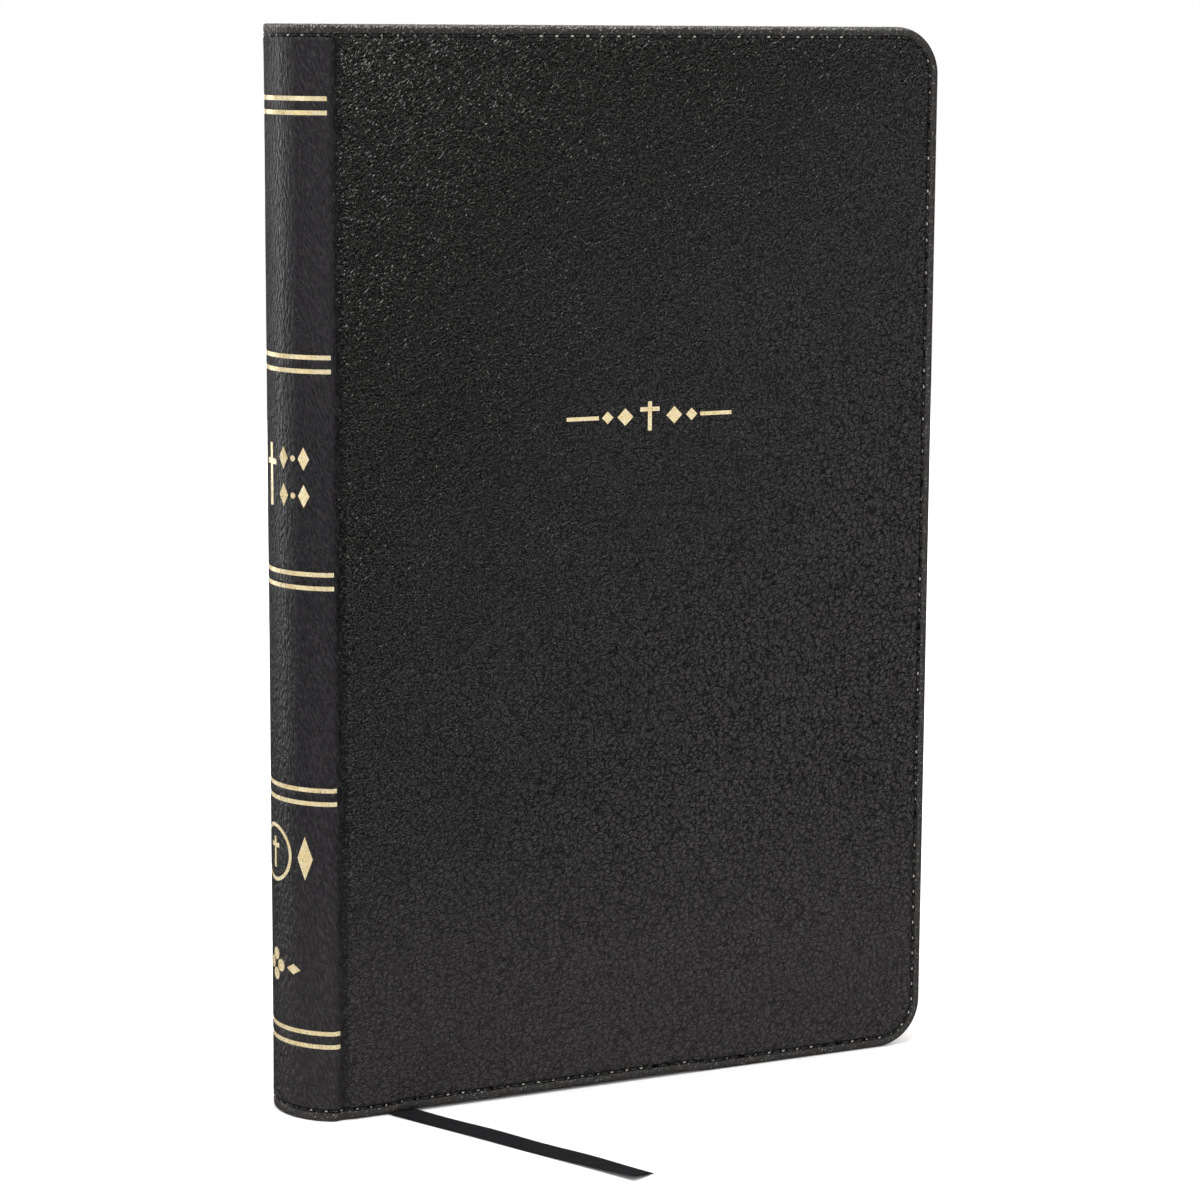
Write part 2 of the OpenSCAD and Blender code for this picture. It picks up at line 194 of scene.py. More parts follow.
class Weld:
    """Collects faces and gives points at the same place one index."""

    def __init__(self):
        self.index = {}
        self.points = []
        self.faces = []

    def point(self, place):
        key = tuple(round(value, 3) for value in place)
        if key not in self.index:
            self.index[key] = len(self.points)
            self.points.append(place)
        return self.index[key]

    def face(self, places):
        ids = []
        for place in places:
            number = self.point(place)
            if number not in ids:
                ids.append(number)
        if len(ids) > 2:
            self.faces.append(ids)

    def grid(self, rows):
        """Quads between rows of places."""
        for lower, upper in zip(rows, rows[1:]):
            for i in range(len(lower) - 1):
                self.face([lower[i], lower[i + 1], upper[i + 1], upper[i]])

    def close_holes(self):
        """Fills each open boundary loop with one flat face."""
        mesh = bmesh.new()
        verts = [mesh.verts.new(p) for p in self.points]
        for face in self.faces:
            mesh.faces.new([verts[i] for i in face])
        edges = [e for e in mesh.edges if e.is_boundary]
        bmesh.ops.holes_fill(mesh, edges=edges, sides=0)
        bmesh.ops.recalc_face_normals(mesh, faces=mesh.faces)
        mesh.verts.index_update()
        self.points = [tuple(v.co) for v in mesh.verts]
        self.faces = [[v.index for v in f.verts] for f in mesh.faces]
        mesh.free()


def skin_rings(rings):
    """Points and faces of a closed piece through rings of equally many points."""
    count = len(rings[0])
    points = [p for ring in rings for p in ring]
    faces = []
    for i in range(len(rings) - 1):
        for j in range(count):
            k = (j + 1) % count
            faces.append([i * count + j, i * count + k, (i + 1) * count + k, (i + 1) * count + j])
    faces.append(list(range(count - 1, -1, -1)))
    faces.append([(len(rings) - 1) * count + j for j in range(count)])
    return points, faces


def tube(route, radii, sides):
    """Points and faces of a closed round tube along a route."""
    route = [Vector(p) for p in route]
    rings = []
    side = None
    for i, place in enumerate(route):
        ahead = route[min(i + 1, len(route) - 1)] - route[max(i - 1, 0)]
        ahead.normalize()
        if side is None:
            side = ahead.orthogonal().normalized()
        side = (side - ahead * side.dot(ahead)).normalized()
        other = ahead.cross(side)
        turns = [2 * math.pi * j / sides for j in range(sides)]
        rings.append([place + (side * math.cos(a) + other * math.sin(a)) * radii[i]
                      for a in turns])
    return skin_rings(rings)


class Parts:
    """Joins several closed pieces into one mesh."""

    def __init__(self):
        self.points = []
        self.faces = []

    def add(self, points, faces):
        base = len(self.points)
        self.points.extend(tuple(p) for p in points)
        self.faces.extend([i + base for i in face] for face in faces)


def mirror_y(points, faces):
    """The rear half is the front half's mirror image."""
    return [(x, -y, z) for x, y, z in points], [face[::-1] for face in faces]


class Nodes:
    """A short way to write a node material. Pieces modelled here carry their places at rest;
    a material for CAD pieces reads the object's own coordinates."""

    def __init__(self, name, on_cad=False):
        self.on_cad = on_cad
        self.material = bpy.data.materials.new(name)
        self.material.use_nodes = True
        self.tree = self.material.node_tree
        self.shader = self.tree.nodes["Principled BSDF"]

    def add(self, kind, **settings):
        node = self.tree.nodes.new(kind)
        for key, value in settings.items():
            setattr(node, key, value)
        return node

    def link(self, output, target):
        self.tree.links.new(output, target)

    def put(self, node, **values):
        """Sets or links a node's inputs by name; underscores stand for spaces."""
        for key, value in values.items():
            socket = node.inputs[key.replace("_", " ")]
            self.feed(socket, value)
        return node

    def feed(self, socket, value):
        """Links a socket to another node's output, or sets it to a plain value."""
        if isinstance(value, bpy.types.NodeSocket):
            self.link(value, socket)
        else:
            socket.default_value = value

    def place(self):
        """Where a point is on the piece at rest, in millimetres."""
        if not self.on_cad:
            return self.add("ShaderNodeAttribute", attribute_name="rest").outputs["Vector"]
        own = self.add("ShaderNodeTexCoord").outputs["Object"]
        return self.mapped(own, "POINT", Scale=(1 / MM, 1 / MM, 1 / MM))

    def mapped(self, place, kind, **values):
        node = self.add("ShaderNodeMapping", vector_type=kind)
        return self.put(node, Vector=place, **values).outputs["Vector"]

    def turned_place(self, degrees):
        """Places turned about Z, so that X and Y run across and along a slanting piece."""
        return self.mapped(self.place(), "POINT", Rotation=(0, 0, math.radians(degrees)))

    def slanted_place(self, long, short, degrees, place=None):
        """Coordinates for a grain that is stretched in X and Z, turned in the cover's plane."""
        return self.mapped(place or self.place(), "TEXTURE",
                           Scale=(long, min(long, short), short),
                           Rotation=(0, math.radians(degrees), 0))

    def stretched_place(self, scale):
        """Places multiplied along each axis."""
        return self.mapped(self.place(), "POINT", Scale=scale)

    def axes(self, place):
        """A place's X, Y and Z as three numbers."""
        node = self.put(self.add("ShaderNodeSeparateXYZ"), Vector=place)
        return node.outputs["X"], node.outputs["Y"], node.outputs["Z"]

    def marked(self, name):
        """A number that mark() keeps on the piece."""
        return self.add("ShaderNodeAttribute", attribute_name=name).outputs["Fac"]

    def shifted_place(self, place, offset, amount):
        """Places moved by an offset colour, which makes straight cells irregular."""
        node = self.add("ShaderNodeVectorMath", operation="MULTIPLY_ADD")
        self.link(offset, node.inputs[0])
        node.inputs[1].default_value = (amount, amount, amount)
        self.link(place, node.inputs[2])
        return node.outputs["Vector"]

    def number_mix(self, factor, a, b):
        """a where factor is 0 and b where it is 1, for plain numbers."""
        return self.times(self.math("SUBTRACT", b, a), factor, a)

    def noise(self, place, scale, detail=3.0, roughness=0.5):
        node = self.add("ShaderNodeTexNoise")
        self.put(node, Vector=place, Scale=scale, Detail=detail, Roughness=roughness)
        return node.outputs["Fac"]

    def cells(self, place, scale):
        """How far a place is from the borders of irregular cells."""
        node = self.add("ShaderNodeTexVoronoi", feature="DISTANCE_TO_EDGE")
        self.put(node, Vector=place, Scale=scale)
        return node.outputs["Distance"]

    def math(self, operation, a, b=0.0, c=0.0, clamp=False):
        node = self.add("ShaderNodeMath", operation=operation, use_clamp=clamp)
        for socket, value in zip(node.inputs, (a, b, c)):
            self.feed(socket, value)
        return node.outputs[0]

    def times(self, a, b, plus=None):
        """a times b, plus a third number if it is given."""
        if plus is None:
            return self.math("MULTIPLY", a, b)
        return self.math("MULTIPLY_ADD", a, b, plus)

    def ramp(self, value, low, high, out_low=0.0, out_high=1.0):
        node = self.add("ShaderNodeMapRange", interpolation_type="SMOOTHSTEP")
        self.put(node, Value=value, From_Min=low, From_Max=high, To_Min=out_low, To_Max=out_high)
        return node.outputs["Result"]

    def mix(self, factor, a, b):
        node = self.add("ShaderNodeMix", data_type="RGBA")
        for name, value in (("Factor", factor), ("A", a), ("B", b)):
            sockets = [s for s in node.inputs if s.name == name]
            socket = sockets[0] if name == "Factor" else sockets[-1]
            socket = next((s for s in sockets if s.type == "RGBA"), socket)
            self.feed(socket, value)
        return next(s for s in node.outputs if s.type == "RGBA")

    def bump(self, height, strength, distance_mm, normal=None):
        node = self.add("ShaderNodeBump")
        self.put(node, Height=height, Strength=strength, Distance=distance_mm * MM)
        if normal is not None:
            self.link(normal, node.inputs["Normal"])
        return node.outputs["Normal"]


def rgb(red, green, blue):
    return (red, green, blue, 1.0)


# ---------- materials ----------


BLACK = rgb(0.0005, 0.0005, 0.0005)
DEEP = rgb(0.002, 0.002, 0.002)


def painted_light_gradient(n, x, z, place):
    """A gradient for painted light: 0 near the head by the spine and past 1 towards the tail and
    fore-edge, in loose patches.
    """
    across = n.times(x, 0.0048, 0.3)
    down = n.times(z, -0.0042, 0.92)
    patch = n.times(n.noise(place, 0.035, 2.0), 0.35)
    return n.math("ADD", n.math("ADD", across, down), patch)


def painted_glints(n, z, light_gradient, on_cover, rim):
    """Painted highlights: short slanting bright spots, where the noise passes a threshold: fewer as
    the light gradient rises, more on the turned edge and most of all on the head's edge."""
    threshold = n.times(light_gradient, 0.15, 0.65)
    threshold = n.number_mix(rim, threshold, 0.68)
    head = n.ramp(z, BOOK_H - 1.0, BOOK_H - 0.5)
    threshold = n.number_mix(head, threshold, 0.53)
    spots = n.noise(n.slanted_place(0.75, 0.18, -45), 1.0, 0.6)
    glint = n.ramp(n.math("SUBTRACT", spots, threshold), 0.005, 0.035)
    return n.times(glint, n.math("MAXIMUM", on_cover, rim))


def leather_material():
    """Black bonded leather. The covers have a fine creased pebble grain whose tops carry painted
    highlights in short slanting bright flecks, most of all near the head by the spine. On the spine
    the leather is pulled round the back, so its grain runs in upright waves."""
    n = Nodes("case_leather")
    place = n.place()
    x, _, z = n.axes(place)
    on_cover = n.ramp(x, X_HINGE - 0.5, X_HINGE + 2.5)
    rim = n.marked("rim")
    light_gradient = painted_light_gradient(n, x, z, place)

    # Grain: creases, teeth, slanting wrinkles and the cracks between pebbles
    warp = n.add("ShaderNodeTexNoise")
    n.put(warp, Vector=place, Scale=0.9, Detail=3.0)
    crease_place = n.shifted_place(place, warp.outputs["Color"], 1.5)
    crease = n.ramp(n.cells(crease_place, 0.8), 0.0, 0.2)
    tooth = n.noise(place, 2.0, 3.0, 0.6)
    fine = n.noise(place, 4.5, 3.0, 0.6)
    wrinkle = n.noise(n.slanted_place(2.6, 1.0, -40), 1.0, 3.0)
    pebble_place = n.shifted_place(place, warp.outputs["Color"], 0.7)
    pebbles = n.cells(n.slanted_place(1.7, 1.0, -38, pebble_place), 1.0)
    crack = n.times(n.ramp(pebbles, 0.02, 0.15, 1.0, 0.0), n.ramp(light_gradient, 0.5, 1.2, 0.4, 1.0))
    crack = n.times(crack, on_cover)
    wave = n.noise(n.slanted_place(0.5, 1.7, -16), 1.0, 1.5, 0.5)
    maze = n.noise(place, 3.4, 1.5, 0.5)

    # Height in millimetres, flatter on the turned edge
    cover_height = n.times(crease, 0.13, n.times(crack, -0.1))
    cover_height = n.times(tooth, 0.42, cover_height)
    cover_height = n.times(wrinkle, 0.36, cover_height)
    spine_height = n.times(tooth, 0.16, n.times(wave, 0.85))
    height = n.number_mix(on_cover, spine_height, cover_height)
    height = n.times(fine, 0.1, height)
    height = n.times(height, n.times(rim, -0.5, 1.0))

    # Colour of the field, with painted shade in the grain's creases and cracks, painted highlights
    # on its raised teeth, and streaks in darker and lighter tones
    shade = n.ramp(n.noise(place, 0.02, 3.0), 0.3, 0.7)
    # Painted light: the cover's base colour grows lighter along the light gradient, towards the
    # tail and fore-edge
    cover_base = n.mix(n.ramp(light_gradient, 0.4, 1.4), rgb(0.002, 0.0019, 0.0018),
                       rgb(0.043, 0.0395, 0.041))
    spine_base = n.mix(shade, rgb(0.0165, 0.0148, 0.0172), rgb(0.02, 0.018, 0.0208))
    base = n.mix(on_cover, spine_base, cover_base)
    # Painted highlight: lighter where the grain's teeth stand highest
    base = n.mix(n.ramp(tooth, 0.5, 0.75), base, rgb(0.038, 0.036, 0.035))
    # Painted shade: darker in the crease valleys
    crease_shade = n.times(n.ramp(crease, 0.0, 0.6, 0.8, 0.0), on_cover)
    base = n.mix(crease_shade, base, DEEP)
    # Darker and lighter streaks: on the spine they follow the waves' height as painted shade and
    # painted highlights; on the cover a maze of grain tones, whose strength and light tone follow
    # the light gradient
    streaks = n.number_mix(on_cover, wave, maze)
    strength = n.number_mix(on_cover, 0.2, n.ramp(light_gradient, 0.6, 1.3, 1.0, 0.35))
    dark = n.times(n.ramp(streaks, 0.42, 0.52, 1.0, 0.0), strength)
    base = n.mix(dark, base, rgb(0.001, 0.001, 0.001))
    light = n.times(n.ramp(streaks, 0.52, 0.62), strength)
    bright = n.mix(n.ramp(light_gradient, 0.4, 1.3), rgb(0.038, 0.037, 0.033), rgb(0.092, 0.084, 0.088))
    base = n.mix(light, base, bright)
    # Painted shade: near black in the cracks between pebbles
    base = n.mix(n.times(crack, 0.8), base, BLACK)

    # Painted floor light towards the tail, painted shade in the French groove, the turned edge's
    # lighter tone and painted shade in the stitching's groove
    base = n.mix(n.ramp(z, 10.0, 70.0, 0.25, 0.0), base, rgb(0.05, 0.046, 0.042))
    from_joint = n.math("ABSOLUTE", n.math("SUBTRACT", x, GROOVE_MIDDLE))
    # Painted shade: the leather is darkened along the French groove
    base = n.mix(n.ramp(from_joint, 0.3, 1.8, 0.45, 0.0), base, DEEP)
    base = n.mix(n.times(rim, 0.65), base, rgb(0.04, 0.035, 0.032))
    # Painted shade: near black along the stitching's groove
    base = n.mix(n.ramp(n.marked("stitch_groove_shade"), 0.2, 0.8), base, rgb(0.0006, 0.0006, 0.0006))

    # Painted highlights: bright glints on the grain, and the brightest painted glints where the
    # leather stands up between stitches
    glint = painted_glints(n, z, light_gradient, on_cover, rim)
    glint_colour = n.mix(rim, rgb(0.28, 0.275, 0.25), rgb(0.26, 0.25, 0.23))
    colour = n.mix(glint, base, glint_colour)
    stitch_glint = n.times(n.ramp(n.marked("stitch_glint"), 0.45, 0.8), n.ramp(n.noise(place, 0.45), 0.4, 0.6))
    colour = n.mix(stitch_glint, colour, rgb(0.45, 0.44, 0.41))

    rough = n.ramp(n.noise(place, 1.1, 3.0), 0.3, 0.7, 0.32, 0.46)
    rough = n.number_mix(on_cover, n.times(rough, 0.85), rough)
    n.put(n.shader, Base_Color=colour, Roughness=rough, Normal=n.bump(height, 1.0, 1.0))
    n.put(n.shader, Specular_IOR_Level=0.45, IOR=1.5)
    return n.material


def thread_material():
    """Black waxed thread with fine lengthwise fibres."""
    n = Nodes("thread")
    fibre = n.noise(n.place(), 9.0, 3.0)
    shade = n.mix(n.ramp(fibre, 0.35, 0.7), rgb(0.011, 0.01045, 0.0099), rgb(0.02, 0.019, 0.018))
    n.put(n.shader, Base_Color=shade, Roughness=0.3, Normal=n.bump(fibre, 0.4, 0.04))
    n.put(n.shader, Sheen_Weight=0.25, Sheen_Roughness=0.4)
    return n.material


def gold_material():
    """Pale stamping foil that follows the grain, worn thin in small brown flecks."""
    n = Nodes("gold_foil")
    place = n.place()
    flecks = n.ramp(n.noise(place, 1.5, 4.0, 0.65), 0.62, 0.7)
    tone = n.noise(place, 0.5, 3.0)
    gold = n.mix(n.ramp(tone, 0.3, 0.7), rgb(0.86, 0.68, 0.36), rgb(0.95, 0.83, 0.55))
    colour = n.mix(flecks, gold, rgb(0.16, 0.075, 0.03))
    rough = n.ramp(n.noise(place, 2.0, 2.0), 0.3, 0.7, 0.24, 0.42)
    metal = n.math("SUBTRACT", 0.42, n.times(flecks, 0.3))
    crease = n.ramp(n.cells(place, 0.75), 0.0, 0.12)
    normal = n.bump(crease, 0.35, 0.06, n.bump(n.noise(place, 3.5, 3.0), 0.4, 0.05))
    n.put(n.shader, Base_Color=colour, Metallic=metal, Roughness=rough, Normal=normal)
    return n.material


def paper_material(name, printed=False, on_cad=False):
    """Thin cream paper with gilt edges. Printed leaves carry two plain columns of grey lines."""
    n = Nodes(name, on_cad)
    place = n.place()
    gilt = n.marked("sheet_edge")
    fibre = n.noise(place, 0.8, 4.0)
    paper = n.mix(n.ramp(fibre, 0.3, 0.7), rgb(0.76, 0.71, 0.59), rgb(0.83, 0.79, 0.68))
    if printed:
        paper = n.mix(printed_lines(n, place), paper, rgb(0.13, 0.12, 0.11))
    layer = n.noise(n.stretched_place((0.06, 1, 0.06)), 9.0, 4.0)
    gold = n.mix(n.ramp(layer, 0.35, 0.65), rgb(0.55, 0.36, 0.13), rgb(0.86, 0.66, 0.32))
    colour = n.mix(gilt, paper, gold)
    rough = n.ramp(gilt, 0.0, 1.0, 0.85, 0.34)
    metal = n.times(gilt, 0.85)
    page_bump = n.bump(fibre, 0.12, 0.05)
    normal = n.bump(n.times(layer, gilt), 0.6, 0.12, page_bump)
    n.put(n.shader, Base_Color=colour, Roughness=rough, Metallic=metal, Normal=normal)
    return n.material


LINE_PITCH = 2.9
WORD_LENGTH = 2.1


def printed_lines(n, place):
    """A mask of two columns of short grey dashes: lines of print too small to hold letters."""
    x, _, z = n.axes(place)
    line = n.math("DIVIDE", z, LINE_PITCH)
    from_middle = n.math("ABSOLUTE", n.math("SUBTRACT", n.math("FRACT", line), 0.5))
    in_line = n.ramp(from_middle, 0.2, 0.27, 1.0, 0.0)
    # Each line reads its own stretch of the noise that cuts it into words
    spot = n.put(n.add("ShaderNodeCombineXYZ"), X=n.math("DIVIDE", x, WORD_LENGTH),
                 Z=n.times(n.math("FLOOR", line), 7.3))
    words = n.ramp(n.noise(spot.outputs["Vector"], 1.0, 1.0), 0.43, 0.47)
    first = window(n, x, X_HINGE + 17, X_HINGE + 68)
    second = window(n, x, X_HINGE + 73, X_FORE - 13)
    column = n.math("ADD", first, second, clamp=True)
    tall = window(n, z, PAGE_LOW + 14, PAGE_HIGH - 16)
    mask = n.times(n.times(in_line, words), n.times(column, tall))
    return n.times(mask, 0.75)


def window(n, value, low, high):
    """1 between low and high, with soft ends."""
    rise = n.ramp(value, low, low + 0.2)
    fall = n.ramp(value, high - 0.2, high, 1.0, 0.0)
    return n.times(rise, fall)


def liner_material():
    """Black lining paper with a fine felt mark."""
    n = Nodes("liner")
    place = n.place()
    felt = n.noise(place, 1.6, 5.0, 0.6)
    colour = n.mix(n.ramp(felt, 0.3, 0.7), rgb(0.011, 0.011, 0.012), rgb(0.022, 0.021, 0.023))
    rough = n.ramp(felt, 0.3, 0.7, 0.55, 0.7)
    n.put(n.shader, Base_Color=colour, Roughness=rough, Normal=n.bump(felt, 0.35, 0.06))
    return n.material


def board_material():
    """Grey-brown board with pressed fibres."""
    n = Nodes("board", on_cad=True)
    place = n.place()
    fibre = n.noise(place, 0.9, 5.0, 0.65)
    speck = n.ramp(n.noise(place, 3.0, 2.0), 0.62, 0.7)
    base = n.mix(n.ramp(fibre, 0.3, 0.7), rgb(0.2, 0.15, 0.1), rgb(0.33, 0.26, 0.19))
    colour = n.mix(speck, base, rgb(0.09, 0.07, 0.05))
    n.put(n.shader, Base_Color=colour, Roughness=0.88, Normal=n.bump(fibre, 0.5, 0.15))
    return n.material


def mull_material():
    """Open cotton gauze: two crossing sets of threads."""
    n = Nodes("mull", on_cad=True)
    place = n.place()
    upright = n.add("ShaderNodeTexWave", bands_direction="Z")
    n.put(upright, Vector=place, Scale=0.5, Distortion=0.6)
    level = n.add("ShaderNodeTexWave", bands_direction="Y")
    n.put(level, Vector=place, Scale=0.5, Distortion=0.6)
    weave = n.math("MAXIMUM", upright.outputs["Fac"], level.outputs["Fac"])
    colour = n.mix(n.ramp(weave, 0.3, 0.8), rgb(0.3, 0.26, 0.19), rgb(0.72, 0.67, 0.55))
    n.put(n.shader, Base_Color=colour, Roughness=0.9, Normal=n.bump(weave, 0.7, 0.2))
    return n.material


def headband_material():
    """Silk thread wound in stripes of gold and black, from the stripe mark on each turn."""
    n = Nodes("headband_thread")
    stripe = n.marked("stripe")
    fibre = n.noise(n.place(), 6.0, 3.0)
    gold = n.mix(n.ramp(fibre, 0.3, 0.7), rgb(0.45, 0.33, 0.12), rgb(0.7, 0.56, 0.26))
    colour = n.mix(stripe, gold, rgb(0.015, 0.014, 0.015))
    n.put(n.shader, Base_Color=colour, Roughness=0.5, Normal=n.bump(fibre, 0.4, 0.05))
    n.put(n.shader, Sheen_Weight=0.35, Sheen_Roughness=0.35)
    return n.material


# The loose ribbon's heading on the table, in degrees from straight forward
RIBBON_LEAN = 25


def ribbon_material():
    """Black double-faced satin: fine ribs along the ribbon and a soft sheen."""
    n = Nodes("ribbon")
    place = n.turned_place(-RIBBON_LEAN)
    ribs = n.add("ShaderNodeTexWave", bands_direction="X", wave_profile="SIN")
    n.put(ribs, Vector=place, Scale=1.1, Distortion=0.8, Detail=2.0)
    picks = n.add("ShaderNodeTexWave", bands_direction="Y", wave_profile="SIN")
    n.put(picks, Vector=place, Scale=1.6, Distortion=0.4)
    weave = n.times(picks.outputs["Fac"], 0.45, ribs.outputs["Fac"])
    cloudy = n.noise(place, 0.25, 3.0)
    colour = n.mix(n.ramp(cloudy, 0.3, 0.7), rgb(0.0025, 0.0026, 0.0038),
                   rgb(0.006, 0.0062, 0.0085))
    n.put(n.shader, Base_Color=colour, Roughness=n.ramp(cloudy, 0.3, 0.7, 0.34, 0.44))
    n.put(n.shader, Normal=n.bump(weave, 0.5, 0.06), Sheen_Weight=0.06, Sheen_Roughness=0.3)
    return n.material


LEATHER = leather_material()
THREAD = thread_material()
GOLD = gold_material()
PAPER = paper_material("pages", printed=True)
BLANK_PAPER = paper_material("blank_pages")
SEWN_FOLDS = paper_material("sewn_folds", on_cad=True)
LINER = liner_material()
BOARD = board_material()
MULL = mull_material()
HEADBAND = headband_material()
RIBBON = ribbon_material()

# ---------- camera ----------

CAMERA_PLACE = Vector((-314.12, -653.06, 219.87))
CAMERA_TARGET = Vector((0.23, 0.13, 101.2))
CAMERA_LENS = 105.24
CAMERA_ROLL = math.radians(0.315)


def make_camera():
    camera = bpy.data.cameras.new("camera")
    camera.lens = CAMERA_LENS
    camera.sensor_width = 36
    camera.clip_start = 0.01
    camera.clip_end = 20
    obj = bpy.data.objects.new("camera", camera)
    bpy.context.scene.collection.objects.link(obj)
    obj.location = CAMERA_PLACE * MM
    obj.rotation_mode = "QUATERNION"
    aim = (CAMERA_TARGET - CAMERA_PLACE).to_track_quat("-Z", "Y")
    obj.rotation_quaternion = aim @ Quaternion((0, 0, 1), CAMERA_ROLL)
    bpy.context.scene.camera = obj


make_camera()

# ---------- ribbon ----------

RIBBON_W = 6
RIBBON_T = 0.28
# The loose length's points and the angle that its face has turned, from upright, 0, to flat, 90
RIBBON_ROUTE = [
    (-53, 0, 3, 0), (-53, 0, 2, 0), (-53, -0.3, 1.1, 25), (-52.9, -1, 0.45, 60),
    (-52.7, -2, 0.2, 85), (-52.2, -5, 0.15, 90), (-51.2, -9, 0.15, 90),
    (-49.8, -12.8, 0.15, 90), (-47.8, -17, 0.15, 90), (-45, -22.9, 0.15, 90),
    (-42.2, -28.8, 0.15, 90), (-39.5, -34.6, 0.15, 90), (-36.8, -40.4, 0.15, 90),
    (-34.1, -46.2, 0.15, 90), (-31.4, -52, 0.15, 90), (-28.7, -57.8, 0.15, 90),
    (-26.1, -63.6, 0.15, 90), (-23.4, -69.8, 0.15, 90),
]
FIRST_LYING = 5
ROUTE_STEPS = 3
# The cut end: how far its slant runs along the ribbon, and how its near edge curls up
RIBBON_SLANT = -0.2
RIBBON_CURL = math.radians(-9)
FRAYS = 22


def ribbon_section(count=12):
    """Half of the ribbon's cross-section: a thin cloth with a bead near each edge. Places across
    are shares of its width and heights are shares of its thickness."""
    places = []
    for i in range(count + 1):
        u = -1 + 2 * i / count
        bead = math.exp(-((abs(u) - 0.94) / 0.045) ** 2)
        places.append((u / 2, 0.12 if i in (0, count) else 0.36 + 0.14 * bead))
    return places


def ribbon_rings(route, across_of, normal_of):
    """Closed rings of points round the ribbon at each route point."""
    section = ribbon_section()
    rings = []
    for i, point in enumerate(route):
        across, normal = across_of(i), normal_of(i)
        upper = [point + across * u * RIBBON_W + normal * t * RIBBON_T for u, t in section]
        lower = [point + across * u * RIBBON_W - normal * t * RIBBON_T for u, t in section]
        rings.append(upper + lower[::-1])
    return rings


def smooth_route(rows, steps):
    """Catmull-Rom points through the given rows, with their turn angles."""
    rows = [np.array(row, float) for row in rows]
    out = []
    for i in range(len(rows) - 1):
        before = rows[max(i - 1, 0)]
        after = rows[min(i + 2, len(rows) - 1)]
        for k in range(steps):
            t = k / steps
            a, b = rows[i], rows[i + 1]
            value = 0.5 * (2 * a + (b - before) * t + (2 * before - 5 * a + 4 * b - after) * t * t
                           + (3 * a - before - 3 * b + after) * t ** 3)
            out.append(value)
    out.append(rows[-1])
    return out


def ribbon_centre():
    """The loose ribbon's middle line, with faint waves on the table, and its face's turn."""
    rows = smooth_route(RIBBON_ROUTE, ROUTE_STEPS)
    centre = [Vector(row[:3]) for row in rows]
    turn = [math.radians(min(max(row[3], 0), 90)) for row in rows]
    lying = FIRST_LYING * ROUTE_STEPS
    for i, place in enumerate(centre):
        if i > lying:
            place.z = RIBBON_T / 2 + 0.02 + 0.07 * (1 - math.cos((i - lying) * 0.55))
        place.z = max(place.z, RIBBON_T / 2 + 0.01)
    return centre, turn


def frayed_end(place, across, level, along):
    """Short loose threads at the cut end, which runs across the ribbon at its slant."""
    frays = random.Random(5)
    for k in range(FRAYS):
        u = -0.47 + 0.94 * k / (FRAYS - 1)
        start = place + across * u * RIBBON_W + along * (u * RIBBON_SLANT - 0.3)
        reach = frays.uniform(0.45, 0.95)
        drift = level * frays.uniform(-0.14, 0.14)
        lift = Vector((0, 0, frays.uniform(-0.04, 0.05)))
        route = [start, start + along * reach * 0.6 + lift, start + along * reach + drift + lift]
        yield tube(route, [0.06, 0.05, 0.02], 5)


def make_ribbon_tail():
    centre, turn = ribbon_centre()
    end = len(centre) - 1
    first_turned = (FIRST_LYING - 1) * ROUTE_STEPS

    def heading(i):
        ahead = centre[min(i + 1, end)] - centre[max(i - 1, 0)]
        return math.atan2(ahead.y, ahead.x)

    def across(i):
        level = Vector((1, 0, 0))
        if i <= first_turned:
            return level
        turned = Vector((-math.sin(heading(i)), math.cos(heading(i)), 0))
        share = min((i - first_turned) / (2 * ROUTE_STEPS), 1)
        return level.lerp(turned, share).normalized()

    def curl(i):
        return RIBBON_CURL * max(0, 1 - (end - i) / (4 * ROUTE_STEPS)) ** 2

    def curled_across(i):
        up = Vector((0, 0, 1))
        return across(i) * math.cos(curl(i)) + up * math.sin(curl(i))

    def normal(i):
        flat = Vector((0, -math.cos(turn[i]), math.sin(turn[i])))
        return flat * math.cos(curl(i)) - across(i) * math.sin(curl(i))

    for i, place in enumerate(centre):
        place.z += RIBBON_W / 2 * math.sin(abs(curl(i)))
    rings = ribbon_rings(centre, curled_across, normal)
    along = Vector((math.cos(heading(end)), math.sin(heading(end)), 0))
    shares = [u for u, _ in ribbon_section()]
    for j, u in enumerate(shares + shares[::-1]):
        rings[-1][j] = rings[-1][j] + along * (u * RIBBON_SLANT + 0.12 * math.sin(u * 23))
    parts = Parts()
    parts.add(*skin_rings(rings))
    for thread in frayed_end(centre[end], curled_across(end), across(end), along):
        parts.add(*thread)
    obj = new_object("satin_ribbon_tail", parts.points, parts.faces, RIBBON)
    path = [tuple(p * MM) for p in centre]
    length = sum((b - a).length for a, b in zip(centre, centre[1:])) * MM
    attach(obj, "root")
    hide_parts("ribbon_tail")
    exit_point = tuple(v * MM for v in RIBBON_ROUTE[0][:3])


# The held length: where its glued end starts, its bend's radius over the head, and the height
# from which it slants back to its exit
GLUED_Z = 190
HEAD_BEND = 0.6
SLANT_TOP = 75


